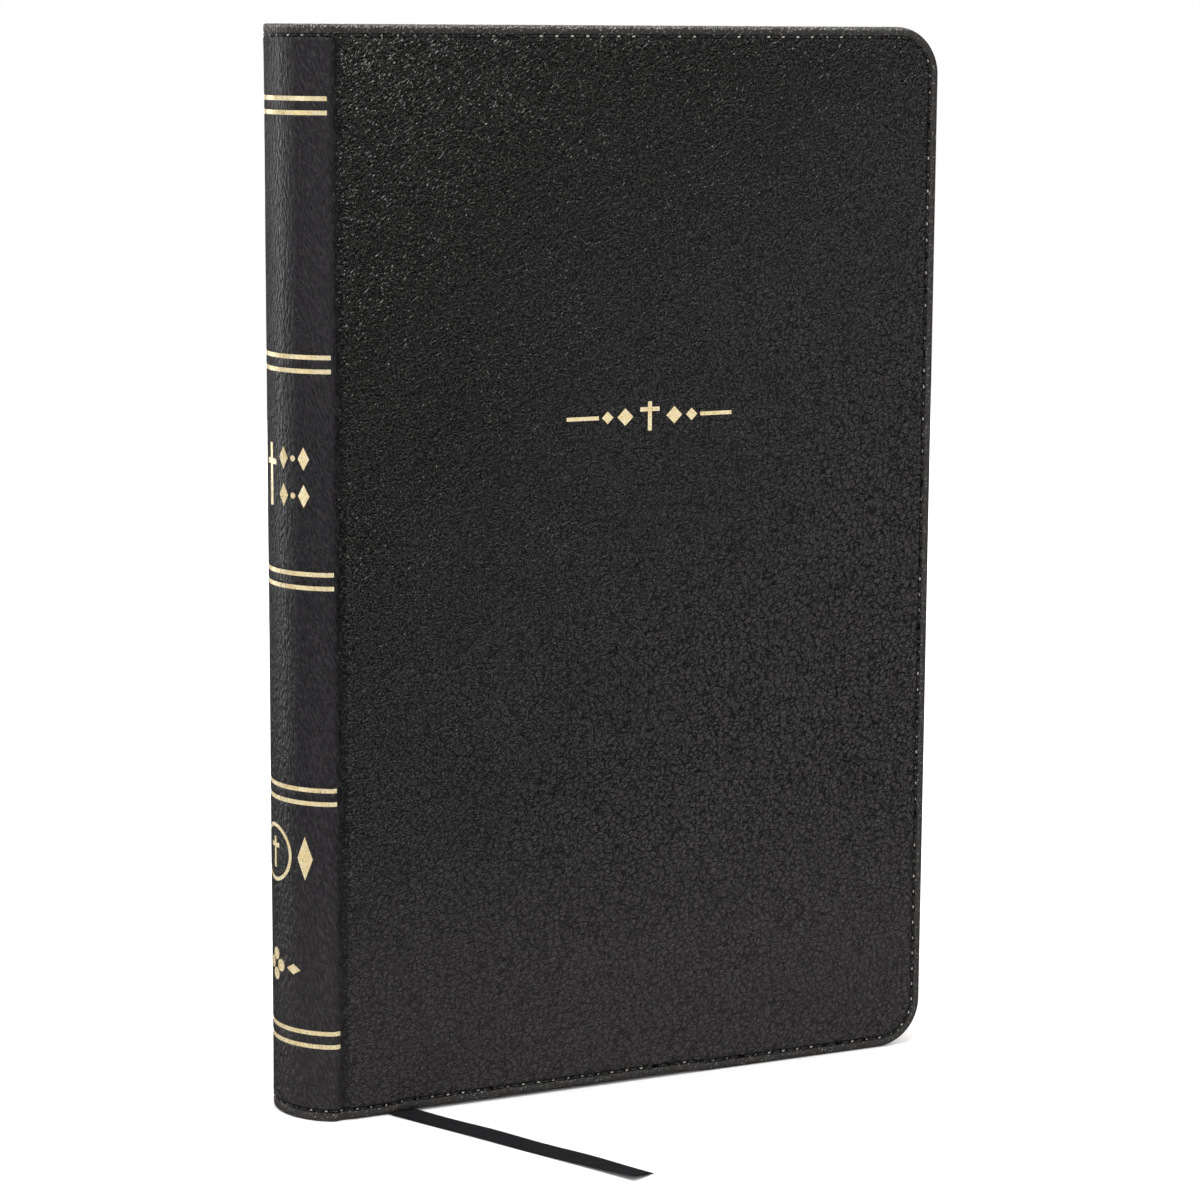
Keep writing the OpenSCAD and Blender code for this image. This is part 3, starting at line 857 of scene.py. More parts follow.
def make_ribbon_marker():
    """The held length: glued behind the back, over the head and down the gutter."""
    low, high = span("ribbon_marker")
    glue_x = low.x + RIBBON_T / 2
    top = PAGE_HIGH + 0.1 + RIBBON_T / 2
    gutter = X_HINGE + 0.1 + RIBBON_W / 2
    exit_x = RIBBON_ROUTE[0][0]
    # In the hollow spine and over the head the face looks back and up
    bend = HEAD_BEND
    first = [Vector((glue_x, 0, z)) for z in np.linspace(GLUED_Z, top - bend, 8)]
    first += [Vector((glue_x + bend * (1 - math.cos(a)), 0, top - bend + bend * math.sin(a)))
              for a in np.radians([30, 60, 90])]
    first += [Vector((x, 0, top)) for x in np.linspace(glue_x + 1, gutter + RIBBON_W / 2, 6)]
    parts = Parts()

    def back_normal(i):
        ahead = first[min(i + 1, len(first) - 1)] - first[max(i - 1, 0)]
        return Vector((-ahead.z, 0, ahead.x)).normalized()

    parts.add(*skin_rings(ribbon_rings(first, lambda i: Vector((0, 1, 0)), back_normal)))
    # Down the gutter it lies between two leaves
    down = [(gutter, z) for z in np.linspace(top, SLANT_TOP, 16)]
    for share in np.linspace(0, 1, 10)[1:]:
        ease = share * share * (3 - 2 * share)
        down.append((gutter + (exit_x - gutter) * ease, SLANT_TOP + (PAGE_LOW - SLANT_TOP) * share))
    second = [Vector((x, 0, z)) for x, z in down]
    parts.add(*skin_rings(ribbon_rings(second, lambda i: Vector((1, 0, 0)),
                                       lambda i: Vector((0, 1, 0)))))
    obj = new_object("satin_ribbon_marker", parts.points, parts.faces, RIBBON)
    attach(obj, "root")
    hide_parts("ribbon_marker")


make_ribbon_tail()
make_ribbon_marker()

# ---------- the leather's flat pattern ----------
# s runs round the case from the spine's middle, z is the height. Each pattern point also has an
# edge angle: 0 on the outer face, 180 on the inner face, and between them round the turned edge.


def profile(s):
    """The closed case's outer surface at pattern length s: x, y and the outward direction."""
    s = np.asarray(s, float)
    turn = np.where(s < ARC_LENGTH, s / SPINE_R,
                    SHOULDER_START + (s - ARC_LENGTH) / SHOULDER_R)
    turn = np.minimum(turn, math.pi / 2)
    arc_x = SPINE_X - SPINE_R * np.cos(turn)
    arc_y = -SPINE_R * np.sin(turn)
    soft_x = X_FLAT - SHOULDER_R * np.cos(turn)
    soft_y = SHOULDER_Y - SHOULDER_R * np.sin(turn)
    x = np.where(s < ARC_LENGTH, arc_x, np.where(s < S_FLAT, soft_x, X_FLAT + s - S_FLAT))
    y = np.where(s < ARC_LENGTH, arc_y, np.where(s < S_FLAT, soft_y, Y_OUT))
    return x, y, -np.cos(turn), -np.sin(turn)


def smooth_share(value, low, high):
    """0 up to low, 1 from high on and a smooth rise between them."""
    t = np.clip((np.asarray(value, float) - low) / (high - low), 0, 1)
    return t * t * (3 - 2 * t)


def thickness(s):
    """Leather thickness: thin round the spine, the whole cover's thickness past the shoulder."""
    return SPINE_T + (COVER_T - 0.06 - SPINE_T) * smooth_share(s, S_FLAT - 2.5, S_FLAT + 0.8)


def edge_distance(s, z):
    """Distance in the pattern from the head, tail or fore-edge, round the two corners."""
    s, z = np.asarray(s, float), np.asarray(z, float)
    flat = np.minimum(np.minimum(z, BOOK_H - z), S_FORE - s)
    corner_z = np.where(z < BOOK_H / 2, CORNER_R, BOOK_H - CORNER_R)
    outside = (s > S_CORNER) & (np.abs(z - BOOK_H / 2) > BOOK_H / 2 - CORNER_R)
    return np.where(outside, CORNER_R - np.hypot(s - S_CORNER, z - corner_z), flat)


def stitch_phase(s, z):
    """0 halfway between two stitches and 0.5 at a stitch's middle, along the row."""
    s, z = np.asarray(s, float), np.asarray(z, float)
    spine_phase = s / STITCH_PITCH
    row_phase = (s - S_BOARD) / ROW_PITCH
    fore_phase = (z - CORNER_R) / FORE_PITCH
    corner_z = np.where(z < BOOK_H / 2, CORNER_R, BOOK_H - CORNER_R)
    angle = np.arctan2(s - S_CORNER, np.abs(z - corner_z) + 1e-9)
    bend_phase = angle / (math.pi / 2) * BEND_STITCHES
    in_fore = np.abs(z - BOOK_H / 2) < BOOK_H / 2 - CORNER_R
    fore = in_fore & (S_FORE - s < CORNER_R)
    phase = np.where(s < S_BOARD - 0.01, spine_phase, row_phase)
    phase = np.where(s > S_CORNER, bend_phase, phase)
    return np.where(fore, fore_phase, phase)


# The gold rules: each pair's upper rule, as a share of the book's height, and their sizes
RULE_PAIRS = [0.9348, 0.7063, 0.5105, 0.312, 0.0837]
RULE_GAP = 2.75
RULE_H = 0.9
RULE_REACH = SPINE_R * math.radians(61)
RULE_SPREAD = 1.8
RULE_PLACES = [share * BOOK_H - drop for share in RULE_PAIRS for drop in (0, RULE_GAP)]
RULE_BED = 0.09


def rule_reach(z):
    """The rules reach a little further round the spine towards the tail."""
    return RULE_REACH + RULE_SPREAD * (1 - np.asarray(z, float) / (RULE_PAIRS[0] * BOOK_H))


def waviness(s, z, side):
    """Slow unevenness of the leather over its board and round the spine."""
    shift = 40 if side == "rear" else 0
    broad = [noise.noise(Vector((a / 17 + shift, b / 17, 0.3))) for a, b in zip(s, z)]
    close = [noise.noise(Vector((a / 4.5 + shift, b / 4.5, 7.1))) for a, b in zip(s, z)]
    return 0.05 * np.array(broad) + 0.02 * np.array(close)


def joint_dip(s):
    """How deep the French groove is at pattern length s."""
    across = np.clip(np.abs(profile(s)[0] - GROOVE_MIDDLE) / GROOVE_HALF, 0, 1)
    return np.where(s > S_FLAT - 1.5, GROOVE_DEPTH * (0.5 + 0.5 * np.cos(math.pi * across)), 0)


# The stitching's groove: its depth, how far it rises between two stitches, the needle holes'
# depth and the groove's half width
ROW_DEPTH = 0.3
ROW_BRIDGE = 0.17
HOLE_DEPTH = 0.14
ROW_HALF = 0.42
# How far the rim outside the stitching and the field inside it lie below the nominal surface
RIM_DROP = 0.06
FIELD_DROP = 0.055


def relief(s, z, side):
    """How far the outer face lies below its nominal surface, in millimetres."""
    s, z = np.asarray(s, float), np.asarray(z, float)
    d = edge_distance(s, z)
    phase = stitch_phase(s, z)
    between = 0.5 + 0.5 * np.cos(2 * math.pi * phase)
    holes = 0.5 - 0.5 * np.cos(4 * math.pi * phase)
    groove = ROW_DEPTH - ROW_BRIDGE * between + HOLE_DEPTH * holes
    groove = groove * np.exp(-((d - STITCH_INSET) / ROW_HALF) ** 2)
    rim = RIM_DROP * (1 - smooth_share(d, 1.6, 2.8))
    rules = np.zeros_like(s)
    for place in RULE_PLACES:
        near = 1 - smooth_share(np.abs(z - place), RULE_H / 2, RULE_H / 2 + 0.3)
        rules = np.maximum(rules, near)
    reach = rule_reach(z)
    rules = rules * RULE_BED * (1 - smooth_share(s - reach, 0, 0.4))
    below = (waviness(s, z, side) + FIELD_DROP) * smooth_share(d, 2.5, 6)
    return groove + rim + joint_dip(s) + rules + below


def tail_lift(s, z):
    """The front cover's tail edge is drawn up a little where the ribbon passes under it."""
    x = profile(s)[0]
    along = smooth_share(x, RELIEF_START, RELIEF_START + RELIEF_RAMP)
    along = along * (1 - smooth_share(x, RELIEF_END - RELIEF_RAMP, RELIEF_END))
    return RELIEF_H * along * (1 - smooth_share(z, *RELIEF_FADE))


def to_case(s, z, depth, side):
    """Pattern places at a depth below the nominal surface, in the book's frame."""
    s, z = np.asarray(s, float), np.asarray(z, float)
    x, y, nx, ny = profile(s)
    up = tail_lift(s, z) if side == "front" else 0
    places = np.stack([x - nx * depth, y - ny * depth, z + up], axis=-1)
    if side == "rear":
        places[..., 1] *= -1
    return places


def wrap_leather(weld, side):
    """Turns a pattern's welded points into leather with its thickness and relief."""
    pattern = np.array(weld.points, float)
    s, z, edge = pattern[:, 0], pattern[:, 1], np.radians(pattern[:, 2])
    depth = thickness(s) / 2 * (1 - np.cos(edge))
    outer = pattern[:, 2] < 0.5
    surface = relief(s, z, side)
    # The relief fades round the turned edge
    depth = depth + np.where(outer, surface, surface * np.clip(np.cos(edge), 0, 1) ** 2)
    return to_case(s, z, depth, side)


EDGE_ANGLES = range(0, 181, 18)


def edge_inset(s, angle):
    """How far inside the leather's outline its rounded edge lies at an edge angle."""
    return thickness(s) / 2 * (1 - math.sin(math.radians(angle)))


def spine_pattern():
    """One half of the spine leather, from its middle to the seam in the joint."""
    columns = [0, 0.12] + list(np.arange(0, ARC_LENGTH, STITCH_PITCH / 4))[1:]
    columns += list(np.linspace(ARC_LENGTH, S_SEAM - 0.12, 15)) + [S_SEAM]
    marks = EDGE_CUTS + [BOOK_H - v for v in EDGE_CUTS] + list(np.arange(5.6, BOOK_H - 5, 1.25))
    special = []
    for place in RULE_PLACES:
        special += [place + k * v for k in (-1, 1) for v in (RULE_H / 2, RULE_H / 2 + 0.3)]
        special.append(place)
    kept = [v for v in marks if min(abs(v - m) for m in special) > 0.28]
    levels = sorted(kept + special)
    insets = [float(thickness(s)) / 2 for s in columns]
    weld = Weld()
    for layer in (0, 180):
        weld.grid([[(s, inset if level is None else min(level, BOOK_H - inset), layer)
                    for s, inset in zip(columns, insets)]
                   for level in [None] + levels + [BOOK_H]])
    for end in ("tail", "head"):
        rows = []
        for angle in EDGE_ANGLES:
            insets = [float(edge_inset(s, angle)) for s in columns]
            rows.append([(s, inset if end == "tail" else BOOK_H - inset, angle)
                         for s, inset in zip(columns, insets)])
        weld.grid(rows)
    weld.close_holes()
    return weld


def cover_path():
    """The cover's outline in the pattern, from the seam along tail, fore-edge and head.
    Each place has its inward direction and, on a straight, its grid line."""
    tail = [S_SEAM] + list(np.linspace(S_SEAM + 0.12, S_BOARD, 8))
    for k in range(ROW_STITCHES):
        parts = 8 if k < 3 else 4
        tail += [S_BOARD + ROW_PITCH * (k + (i + 1) / parts) for i in range(parts)]
    if len(tail) % 2 == 0:
        tail.insert(2, (tail[1] + tail[2]) / 2)
    fore_steps = FORE_STITCHES * 4
    fore = [CORNER_R + (BOOK_H - 2 * CORNER_R) * i / fore_steps for i in range(fore_steps + 1)]
    bend = [math.pi / 2 * i / (BEND_STITCHES * 4) for i in range(BEND_STITCHES * 4 + 1)]
    path = [((s, 0.0), (0.0, 1.0)) for s in tail]
    path += [((S_CORNER + CORNER_R * math.sin(a), CORNER_R - CORNER_R * math.cos(a)),
              (-math.sin(a), math.cos(a))) for a in bend[1:]]
    path += [((S_FORE, z), (-1.0, 0.0)) for z in fore[1:]]
    path += [((S_CORNER + CORNER_R * math.cos(a), BOOK_H - CORNER_R + CORNER_R * math.sin(a)),
              (-math.cos(a), -math.sin(a))) for a in bend[1:]]
    path += [((s, BOOK_H), (0.0, -1.0)) for s in tail[-2::-1]]
    return path, tail, fore


def cover_pattern():
    """One cover's leather: fine rings near its edge, a coarser field inside."""
    path, tail, fore = cover_path()

    def ring(inset, angle, step=1):
        places = []
        for (s, z), (ds, dz) in path[::step]:
            d = inset if inset is not None else float(edge_inset(s, angle))
            places.append((s + ds * d, z + dz * d, angle))
        return places

    weld = Weld()
    weld.grid([ring(None, angle) for angle in EDGE_ANGLES])
    for layer, fine in ((0, EDGE_CUTS), (180, [1.6])):
        rings = [ring(None, layer)] + [ring(d, layer) for d in fine]
        weld.grid(rings)
        outer_ring = rings[-1]
        inner_ring = ring(6.0, layer, 2)
        for i in range(len(inner_ring) - 1):
            fine_places = outer_ring[2 * i:2 * i + 3]
            weld.face(fine_places + [inner_ring[i + 1], inner_ring[i]])
        weld.grid([ring(d, layer, 2) for d in (6.0, 8.0, CORNER_R)])
        weld.grid([[(s, z, layer) for s in tail[::2]] for z in fore[::2]])
    weld.close_holes()
    return weld


SPINE_PATTERN = spine_pattern()
COVER_PATTERN = cover_pattern()


def blend_spine(obj, side):
    """Bakes the piece's placement, through blend_along()."""
    blend_along(obj, f"{side}_leaves", side)


def cover_body(side):
    return "front_cover" if side == "front" else "back_cover"


def blend_cover(obj, side):
    """Bakes the piece's placement, through blend_along()."""
    blend_along(obj, cover_body(side), side)


def leather_object(name, weld, side):
    obj = new_object(name, wrap_leather(weld, side), weld.faces, LEATHER)
    turn_faces_out(obj)
    s, z, edge = np.array(weld.points, float).T
    outer = edge < 0.5
    distance = edge_distance(s, z)
    mark(obj, "rim", "POINT", np.where(outer, 1 - smooth_share(distance, 1.8, 2.4), 1.0))
    # Painted highlight: a bright glint where the leather stands up between two stitches
    between = 0.5 + 0.5 * np.cos(2 * math.pi * stitch_phase(s, z))
    from_row = np.abs(distance - STITCH_INSET)
    mark(obj, "stitch_glint", "POINT", (from_row < 0.2) & outer & (between > 0.9))
    # Painted shade along the stitching's groove, strongest on the row of stitches
    mark(obj, "stitch_groove_shade", "POINT", np.where(outer, np.exp(-(from_row / 0.45) ** 2), 0.0))
    return obj


def make_case():
    for side in SIDES:
        spine = leather_object(f"spine_leather_{side}_half", SPINE_PATTERN, side)
        blend_spine(spine, side)
        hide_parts("spine_leather", f"{side}_joint_leather")
        cover = leather_object(f"{cover_body(side)}_skin", COVER_PATTERN, side)
        blend_cover(cover, side)
        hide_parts(f"{cover_body(side)}_leather")


make_case()

# ---------- stitching ----------

THREAD_TURNS = 1.6
THREAD_STEPS = 8
# Whole stitches on each half of the spine, and then in each joint
SPINE_STITCHES = range(4)
JOINT_STITCHES = range(4, 6)


def stitch_route(s, z, heading, side):
    """A two-ply stitch centred at a pattern place, pressed in at both ends."""
    for ply in range(2):
        route = []
        for i in range(THREAD_STEPS + 1):
            t = i / THREAD_STEPS
            along = (t - 0.5) * STITCH_LENGTH
            twist = 2 * math.pi * THREAD_TURNS * t + math.pi * ply
            sink = 0.55 * (2 * abs(t - 0.5)) ** 3
            across = PLY_R * 0.85 * math.cos(twist)
            depth = 0.2 + sink + PLY_R * 0.85 * math.sin(twist)
            ps = s + along * math.cos(heading) - across * math.sin(heading)
            pz = z + along * math.sin(heading) + across * math.cos(heading)
            route.append(Vector(to_case(ps, pz, depth + float(joint_dip(ps)), side)))
        inner = [PLY_R] * (THREAD_STEPS - 1)
        yield route, [0.75 * PLY_R] + inner + [0.75 * PLY_R]


def stitch_object(name, places, sides):
    parts = Parts()
    for s, z, heading in places:
        for side in sides:
            for route, radii in stitch_route(s, z, heading, side):
                parts.add(*tube(route, radii, 6))
    return new_object(name, parts.points, parts.faces, THREAD)


def cover_stitches():
    """Place and heading of each stitch along a cover's head, tail, fore-edge and corners."""
    rows = (STITCH_INSET, BOOK_H - STITCH_INSET)
    places = [(S_BOARD + (k + 0.5) * ROW_PITCH, z, 0.0) for k in range(ROW_STITCHES) for z in rows]
    places += [(S_BOARD - 0.5 * ROW_PITCH, z, 0.0) for z in rows]
    places += [(S_FORE - STITCH_INSET, CORNER_R + (k + 0.5) * FORE_PITCH, math.pi / 2)
               for k in range(FORE_STITCHES)]
    bend_r = CORNER_R - STITCH_INSET
    for k in range(BEND_STITCHES):
        a = math.pi / 2 * (k + 0.5) / BEND_STITCHES
        s = S_CORNER + bend_r * math.sin(a)
        rise = bend_r * math.cos(a)
        places.append((s, CORNER_R - rise, a))
        places.append((s, BOOK_H - CORNER_R + rise, -a))
    return places


def make_stitching():
    rows = (STITCH_INSET, BOOK_H - STITCH_INSET)
    for node, z in (("spine_tail_stitches", rows[0]), ("spine_head_stitches", rows[1])):
        places = [((k + 0.5) * STITCH_PITCH, z, 0.0) for k in SPINE_STITCHES]
        obj = stitch_object(node.replace("stitches", "threads"), places, SIDES)
        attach(obj, "root")
        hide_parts(node)
    for side in SIDES:
        joint = [((k + 0.5) * STITCH_PITCH, z, 0.0) for k in JOINT_STITCHES for z in rows]
        obj = stitch_object(f"{side}_joint_threads", joint, [side])
        blend_spine(obj, side)
        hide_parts(f"{side}_joint_stitches")
        obj = stitch_object(f"{cover_body(side)}_threads", cover_stitches(), [side])
        blend_cover(obj, side)
        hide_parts(f"{cover_body(side)}_stitching")


make_stitching()

# ---------- gold tooling ----------

# How far the foil stands proud of the leather, and its thickness
FOIL_PROUD = 0.02
FOIL_T = 0.07


def plate(cells, side):
    """A thin closed piece on the leather from cells of pattern places that share their edges."""
    weld = Weld()
    for cell in cells:
        weld.face([(s, z, 0) for s, z in cell])
    flat = np.array(weld.points, float)
    s, z = flat[:, 0], flat[:, 1]
    base = np.where(s < 0, relief(-s, z, "rear"), relief(s, z, side))
    top = spine_places(s, z, base - FOIL_PROUD, side)
    bottom = spine_places(s, z, base + FOIL_T - FOIL_PROUD, side)
    count = len(flat)
    faces = [list(face) for face in weld.faces]
    faces += [[i + count for i in face[::-1]] for face in weld.faces]
    edges = {edge for face in weld.faces for edge in zip(face, face[1:] + face[:1])}
    for a, b in sorted(edges):
        if (b, a) not in edges:
            faces.append([b, a, a + count, b + count])
    return np.concatenate([top, bottom]), faces


def spine_places(s, z, depth, side):
    """Pattern places that may cross the spine's middle: s below 0 lies on the rear half."""
    front = to_case(np.abs(s), z, depth, side)
    front[..., 1] = np.where(s < 0, -front[..., 1], front[..., 1])
    return front


def bar_cells(s0, z0, s1, z1, step=0.6):
    """A rectangle cut into cells."""
    columns = max(1, round((s1 - s0) / step))
    rows = max(1, round((z1 - z0) / step))
    s = np.linspace(s0, s1, columns + 1)
    z = np.linspace(z0, z1, rows + 1)
    return [[(s[i], z[j]), (s[i + 1], z[j]), (s[i + 1], z[j + 1]), (s[i], z[j + 1])]
            for i in range(columns) for j in range(rows)]


def moved(cells, ds, dz):
    """Cells shifted along the pattern and up."""
    return [[(s + ds, z + dz) for s, z in cell] for cell in cells]


def lozenge_cells(w, h, parts=4):
    """A lozenge cut into smaller ones."""
    def corner(u, v):
        return ((u + v - 1) * w / 2, (v - u) * h / 2)

    places = [i / parts for i in range(parts + 1)]
    return [[corner(a, c), corner(b, c), corner(b, d), corner(a, d)]
            for a, b in zip(places, places[1:]) for c, d in zip(places, places[1:])]


def ring_cells(r_in, r_out, around):
    """A ring, or a round dot where its inner radius is 0."""
    radii = [r_in, r_out] if r_in > 0 else [0, r_out / 2, r_out]
    cells = []
    for a, b in zip(radii, radii[1:]):
        for i in range(around):
            p, q = 2 * math.pi * i / around, 2 * math.pi * (i + 1) / around
            cells.append([(a * math.cos(p), a * math.sin(p)), (b * math.cos(p), b * math.sin(p)),
                          (b * math.cos(q), b * math.sin(q)), (a * math.cos(q), a * math.sin(q))])
    return cells


def cross_cells(w, h, stroke):
    """A Latin cross centred on its own height."""
    low, high = -h / 2, h / 2
    arm = h * 0.16
    half = stroke / 2
    cells = []
    for z0, z1 in ((low, arm), (arm, arm + stroke), (arm + stroke, high)):
        cells += bar_cells(-half, z0, half, z1, 1.0)
    for direction in (-1, 1):
        s0, s1 = sorted((direction * half, direction * w / 2))
        cells += bar_cells(s0, arm, s1, arm + stroke, 1.0)
    return cells


def gold_object(name, shapes, side, node):
    parts = Parts()
    for cells in shapes:
        parts.add(*plate(cells, side))
    obj = new_object(name, parts.points, parts.faces, GOLD, sharp_angle=40)
    turn_faces_out(obj)
    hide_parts(node)
    return obj


TITLE_Z = 0.598 * BOOK_H
BADGE_Z = 0.2475 * BOOK_H
FOOT_Z = 0.1415 * BOOK_H
FRONT_ORNAMENT_S = s_at(X_HINGE + 69.2)
FRONT_ORNAMENT_Z = 0.641 * BOOK_H


def title_ornament():
    """A tall cross between two columns of lozenges with dots."""
    shapes = [cross_cells(4.2, 12.6, 1.1)]
    for row in (3.7, -3.7):
        for direction in (-1, 1):
            shapes.append(moved(lozenge_cells(2.6, 4.6), direction * 4.6, row))
            shapes.append(moved(ring_cells(0, 0.6, 20), direction * 7.2, row))
            shapes.append(moved(lozenge_cells(2.6, 4.6), direction * 9.8, row))
    return shapes


def badge_ornament():
    """A ring round a small cross, between two lozenges."""
    shapes = [ring_cells(5.2, 6, 64), cross_cells(3.6, 6.4, 0.9)]
    return shapes + [moved(lozenge_cells(3.6, 9), direction * 9.4, 0) for direction in (-1, 1)]


def foot_ornament():
    """Four dots between two lozenges."""
    shapes = [moved(ring_cells(0, 1.3, 28), a, b)
              for a, b in ((0, 2.1), (2.1, 0), (0, -2.1), (-2.1, 0))]
    return shapes + [moved(lozenge_cells(3.8, 2.2), direction * 6.2, 0) for direction in (-1, 1)]


def front_ornament():
    """A small cross between lozenges and bars."""
    shapes = [cross_cells(4.4, 6, 0.9)]
    for direction in (-1, 1):
        shapes.append(moved(lozenge_cells(3.6, 3.6), direction * 5.6, 0))
        shapes.append(moved(lozenge_cells(2.6, 2.6), direction * 9.6, 0))
        ends = sorted((direction * 11.6, direction * 18.85))
        shapes.append(bar_cells(ends[0], -0.4, ends[1], 0.4))
    return shapes


def make_gold():
    for side in SIDES:
        rules = [bar_cells(0, z - RULE_H / 2, float(rule_reach(z)), z + RULE_H / 2, 0.45)
                 for z in RULE_PLACES]
        obj = gold_object(f"spine_gold_rules_{side}_half", rules, side, "spine_rules")
        blend_spine(obj, side)
    for name, shapes, s, z, node, body in (
            ("spine_gold_title", title_ornament(), 0, TITLE_Z, "spine_title_ornament", "root"),
            ("spine_gold_badge", badge_ornament(), 0, BADGE_Z, "spine_badge_ornament", "root"),
            ("spine_gold_foot", foot_ornament(), 0, FOOT_Z, "spine_foot_ornament", "root"),
            ("front_gold_ornament", front_ornament(), FRONT_ORNAMENT_S, FRONT_ORNAMENT_Z,
             "front_title_ornament", "front_cover")):
        placed = [moved(cells, s, z) for cells in shapes]
        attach(gold_object(name, placed, "front", node), body)


make_gold()

# ---------- pages ----------

# The text block's rounded back: its radius, and how far it bulges behind the hinge line
BACK_R = 13.61
BLOCK_ROUND = 4.6
SECTIONS = 24
SECTION_CUTS = 8
# Each section's leaves stand in by up to this much, at random
LEAF_INSET = 0.09


def page_columns(x0, x1):
    """Places along X: close together where the leaves bend, and round the two corners."""
    columns = list(np.linspace(x0, x0 + 16, 17))
    columns += list(np.linspace(x0 + 16, x1 - PAGE_CORNER_R, 9))[1:]
    columns += [x1 - PAGE_CORNER_R * (1 - math.sin(math.pi / 2 * i / 10)) for i in range(1, 11)]
    return columns


def sheet_ring(columns, x_end, corner_r, y, z_low, z_high):
    """A sheet's outline at one level, rounded at its two far corners."""
    lower, upper = [], []
    for x in columns:
        past = max(x - (x_end - corner_r), 0)
        drop = corner_r - math.sqrt(max(corner_r ** 2 - past ** 2, 0))
        lower.append((x, y, z_low + drop))
        upper.append((x, y, z_high - drop))
    return lower + upper[::-1]


def sheet_stack(rings):
    """Points and faces of a closed stack: its edge faces, then its two flat sides, and for each
    face 1 where it is an edge."""
    count = len(rings[0])
    points = [p for ring in rings for p in ring]
    faces = []
    for i in range(len(rings) - 1):
        for j in range(count):
            k = (j + 1) % count
            faces.append([i * count + k, i * count + j, (i + 1) * count + j, (i + 1) * count + k])
    edge = [1.0] * len(faces)
    for level, flip in ((0, False), (len(rings) - 1, True)):
        base = level * count
        for j in range(count // 2 - 1):
            face = [base + j, base + j + 1, base + count - 2 - j, base + count - 1 - j]
            faces.append(face[::-1] if flip else face)
    edge += [0.0] * (len(faces) - len(edge))
    return points, faces, edge


def sheet_object(name, rings, material, side):
    points, faces, edge = sheet_stack(rings)
    if side == "rear":
        points, faces = mirror_y(points, faces)
    obj = new_object(name, points, faces, material, sharp_angle=30)
    mark(obj, "sheet_edge", "FACE", edge)
    return obj


def page_rings(x0, x1, y_levels, insets):
    """One outline of the leaves at each level, drawn in a little by its inset."""
    return [sheet_ring(page_columns(x0, x1 - inset), x1 - inset, PAGE_CORNER_R, y,
                       PAGE_LOW + inset, PAGE_HIGH - inset) for y, inset in zip(y_levels, insets)]


def half_depth(low, high):
    """A piece's near and far distance from the book's middle plane."""
    return sorted((abs(low.y), abs(high.y)))


def make_sections():
    for number in range(1, SECTIONS + 1):
        node = f"section_{number:02d}"
        low, high = span(node)
        side = "front" if number <= SECTIONS // 2 else "rear"
        near, far = half_depth(low, high)
        leaves = random.Random(number)
        levels = [-far + (far - near) * i / SECTION_CUTS for i in range(SECTION_CUTS + 1)]
        insets = [leaves.uniform(0.0, LEAF_INSET) for _ in levels]
        insets[0] = insets[-1] = 0.06
        rings = page_rings(low.x, high.x, levels, insets)
        obj = sheet_object(f"leaves_{number:02d}", rings, PAPER, side)
        blend_along(obj, f"{side}_leaves", side)
        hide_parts(node)


def make_flyleaves():
    for side in SIDES:
        low, high = span(f"{side}_flyleaf")
        near, far = half_depth(low, high)
        rings = page_rings(X_HINGE + 0.5, high.x, [-far, -near], [0.0, 0.0])
        obj = sheet_object(f"{side}_flyleaf_sheet", rings, BLANK_PAPER, side)
        blend_along(obj, f"{side}_flyleaf", side)
        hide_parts(f"{side}_flyleaf")


def make_pastedowns():
    """Black lining papers on the covers' inner faces."""
    r = CORNER_R - 3
    for side in SIDES:
        node = f"{side}_pastedown"
        low, high = span(node)
        near, far = half_depth(low, high)
        columns = list(np.linspace(low.x, low.x + 9, 16))
        columns += list(np.linspace(low.x + 9, high.x - r, 12))[1:]
        columns += [high.x - r * (1 - math.sin(math.pi / 2 * i / 12)) for i in range(1, 13)]
        rings = []
        for y, inset in ((-far, 0.0), (-near - 0.01, 0.0), (-near + 0.02, 0.06)):
            ring = sheet_ring(columns, high.x, r, y, low.z + inset, high.z - inset)
            rings.append([(min(x, high.x - inset), y, z) for x, y, z in ring])
        obj = sheet_object(f"{side}_lining_paper", rings, LINER, side)
        blend_cover(obj, side)
        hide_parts(node)


make_sections()
make_flyleaves()
make_pastedowns()

# ---------- headbands ----------


BAND_R = BACK_R - 1.2
BAND_REACH = math.radians(38)
BAND_TURNS = 34
RINGS_PER_TURN = 5
BAND_SIDES = 14


def make_headbands():
    """A core wound with thread along the back's curve; every fourth turn is black."""
    centre_x = X_HINGE - 0.05 - BLOCK_ROUND + BACK_R
    rings = BAND_TURNS * RINGS_PER_TURN
    for node in ("headband", "tailband"):
        low, high = span(node)
        z = (low.z + high.z) / 2
        route, radii = [], []
        for i in range(rings + 1):
            a = -BAND_REACH + 2 * BAND_REACH * i / rings
            route.append((centre_x - BAND_R * math.cos(a), BAND_R * math.sin(a), z))
            swell = abs(math.sin(math.pi * i / RINGS_PER_TURN))
            radii.append(0.84 + 0.15 * math.sqrt(swell))
        points, faces = tube(route, radii, BAND_SIDES)
        turns = [min(face) // BAND_SIDES // RINGS_PER_TURN for face in faces]
        obj = new_object(f"{node}_threads", points, faces, HEADBAND)
        mark(obj, "stripe", "FACE", [1.0 if turn % 4 == 3 else 0.0 for turn in turns])
        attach(obj, "root")
        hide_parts(node)


make_headbands()

# ---------- materials on the CAD pieces that stay ----------


def dress(node, material):
    obj = frame["nodes"][node]
    if not obj.material_slots:
        obj.data.materials.append(material)
    for slot in obj.material_slots:
        slot.material = material


for node_name in ("front_board", "back_board", "spine_inlay", "spine_paper_lining"):
    dress(node_name, BOARD)
for node_name in ("sewing_thread", "mull_lining"):
    dress(node_name, MULL)
dress("sewn_backbone", SEWN_FOLDS)

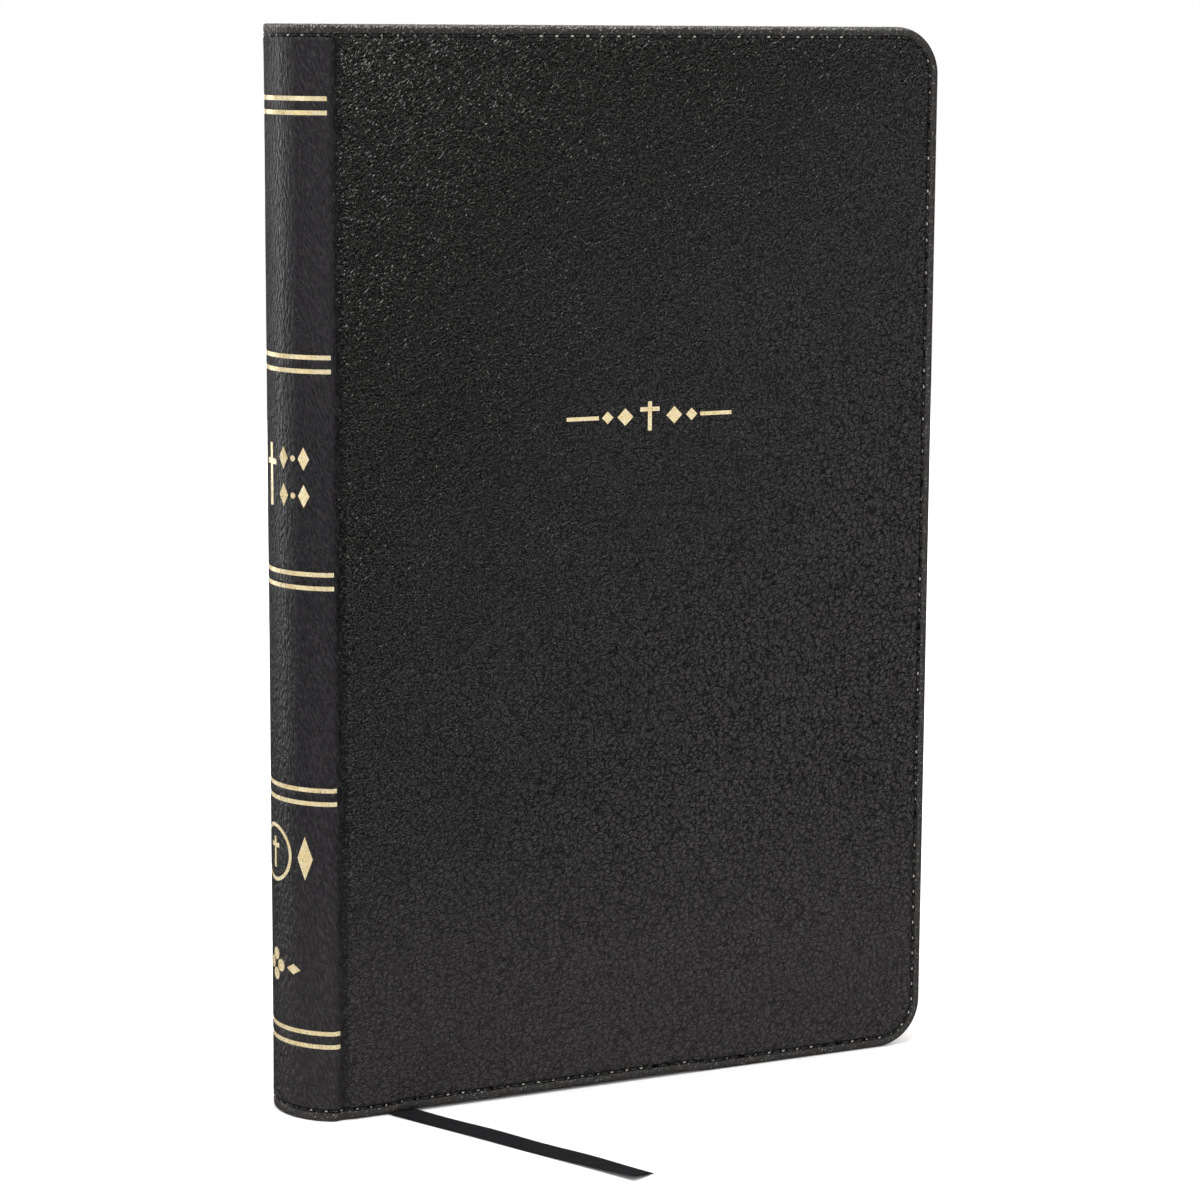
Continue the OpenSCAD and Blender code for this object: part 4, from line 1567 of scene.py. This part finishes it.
# ---------- floor and light ----------


# Half of the floor's width, in metres
FLOOR_HALF = 1.2


def make_floor():
    """A white sheet to the horizon."""
    mesh = bpy.data.meshes.new("floor")
    corners = [(x * FLOOR_HALF, y * FLOOR_HALF, 0) for x, y in ((-1, -1), (1, -1), (1, 1), (-1, 1))]
    mesh.from_pydata(corners, [], [[0, 1, 2, 3]])
    n = Nodes("floor", on_cad=True)
    grain = n.noise(n.place(), 0.02, 3.0)
    colour = n.mix(grain, rgb(0.96, 0.96, 0.96), rgb(0.99, 0.99, 0.99))
    n.put(n.shader, Base_Color=colour, Roughness=0.9)
    mesh.materials.append(n.material)
    obj = bpy.data.objects.new("floor", mesh)
    bpy.context.scene.collection.objects.link(obj)
    obj.visible_glossy = False


WORLD_LIGHT = 1.0
LIGHT_AIM = Vector((0.0, 0.0, 0.11))
# Name, place, width and height in metres, and power in watts
LIGHTS = [
    ("key", (-0.1, -1.0, 0.62), 0.16, 0.16, 1.0),
    ("low", (0.45, -1.0, 0.1), 0.4, 0.15, 0.25),
    ("front", (0.6, -1.1, 0.5), 0.5, 0.5, 0.5),
    ("top", (-0.1, -0.15, 1.2), 0.8, 0.5, 9),
    ("left", (-0.55, 1.0, 0.25), 0.4, 0.8, 2.8),
    ("side", (-1.3, -0.15, 0.35), 0.3, 0.8, 1.4),
    ("back", (0.6, 1.1, 0.6), 0.6, 0.5, 6),
]


def area_light(name, place, width, height, power):
    light = bpy.data.lights.new(name, "AREA")
    light.shape = "RECTANGLE"
    light.size = width
    light.size_y = height
    light.energy = power
    obj = bpy.data.objects.new(name, light)
    bpy.context.scene.collection.objects.link(obj)
    obj.location = place
    obj.rotation_mode = "QUATERNION"
    obj.rotation_quaternion = (LIGHT_AIM - Vector(place)).to_track_quat("-Z", "Y")
    obj.visible_camera = False


def make_light():
    """White surroundings that glossy surfaces don't mirror, and soft boxes that they do."""
    world = bpy.data.worlds.new("studio")
    world.use_nodes = True
    background = world.node_tree.nodes["Background"]
    background.inputs["Color"].default_value = (1, 1, 1, 1)
    background.inputs["Strength"].default_value = WORLD_LIGHT
    bpy.context.scene.world = world
    world.cycles_visibility.glossy = False
    bpy.context.scene.view_settings.view_transform = "Standard"
    for light in LIGHTS:
        area_light(*light)


make_floor()
make_light()
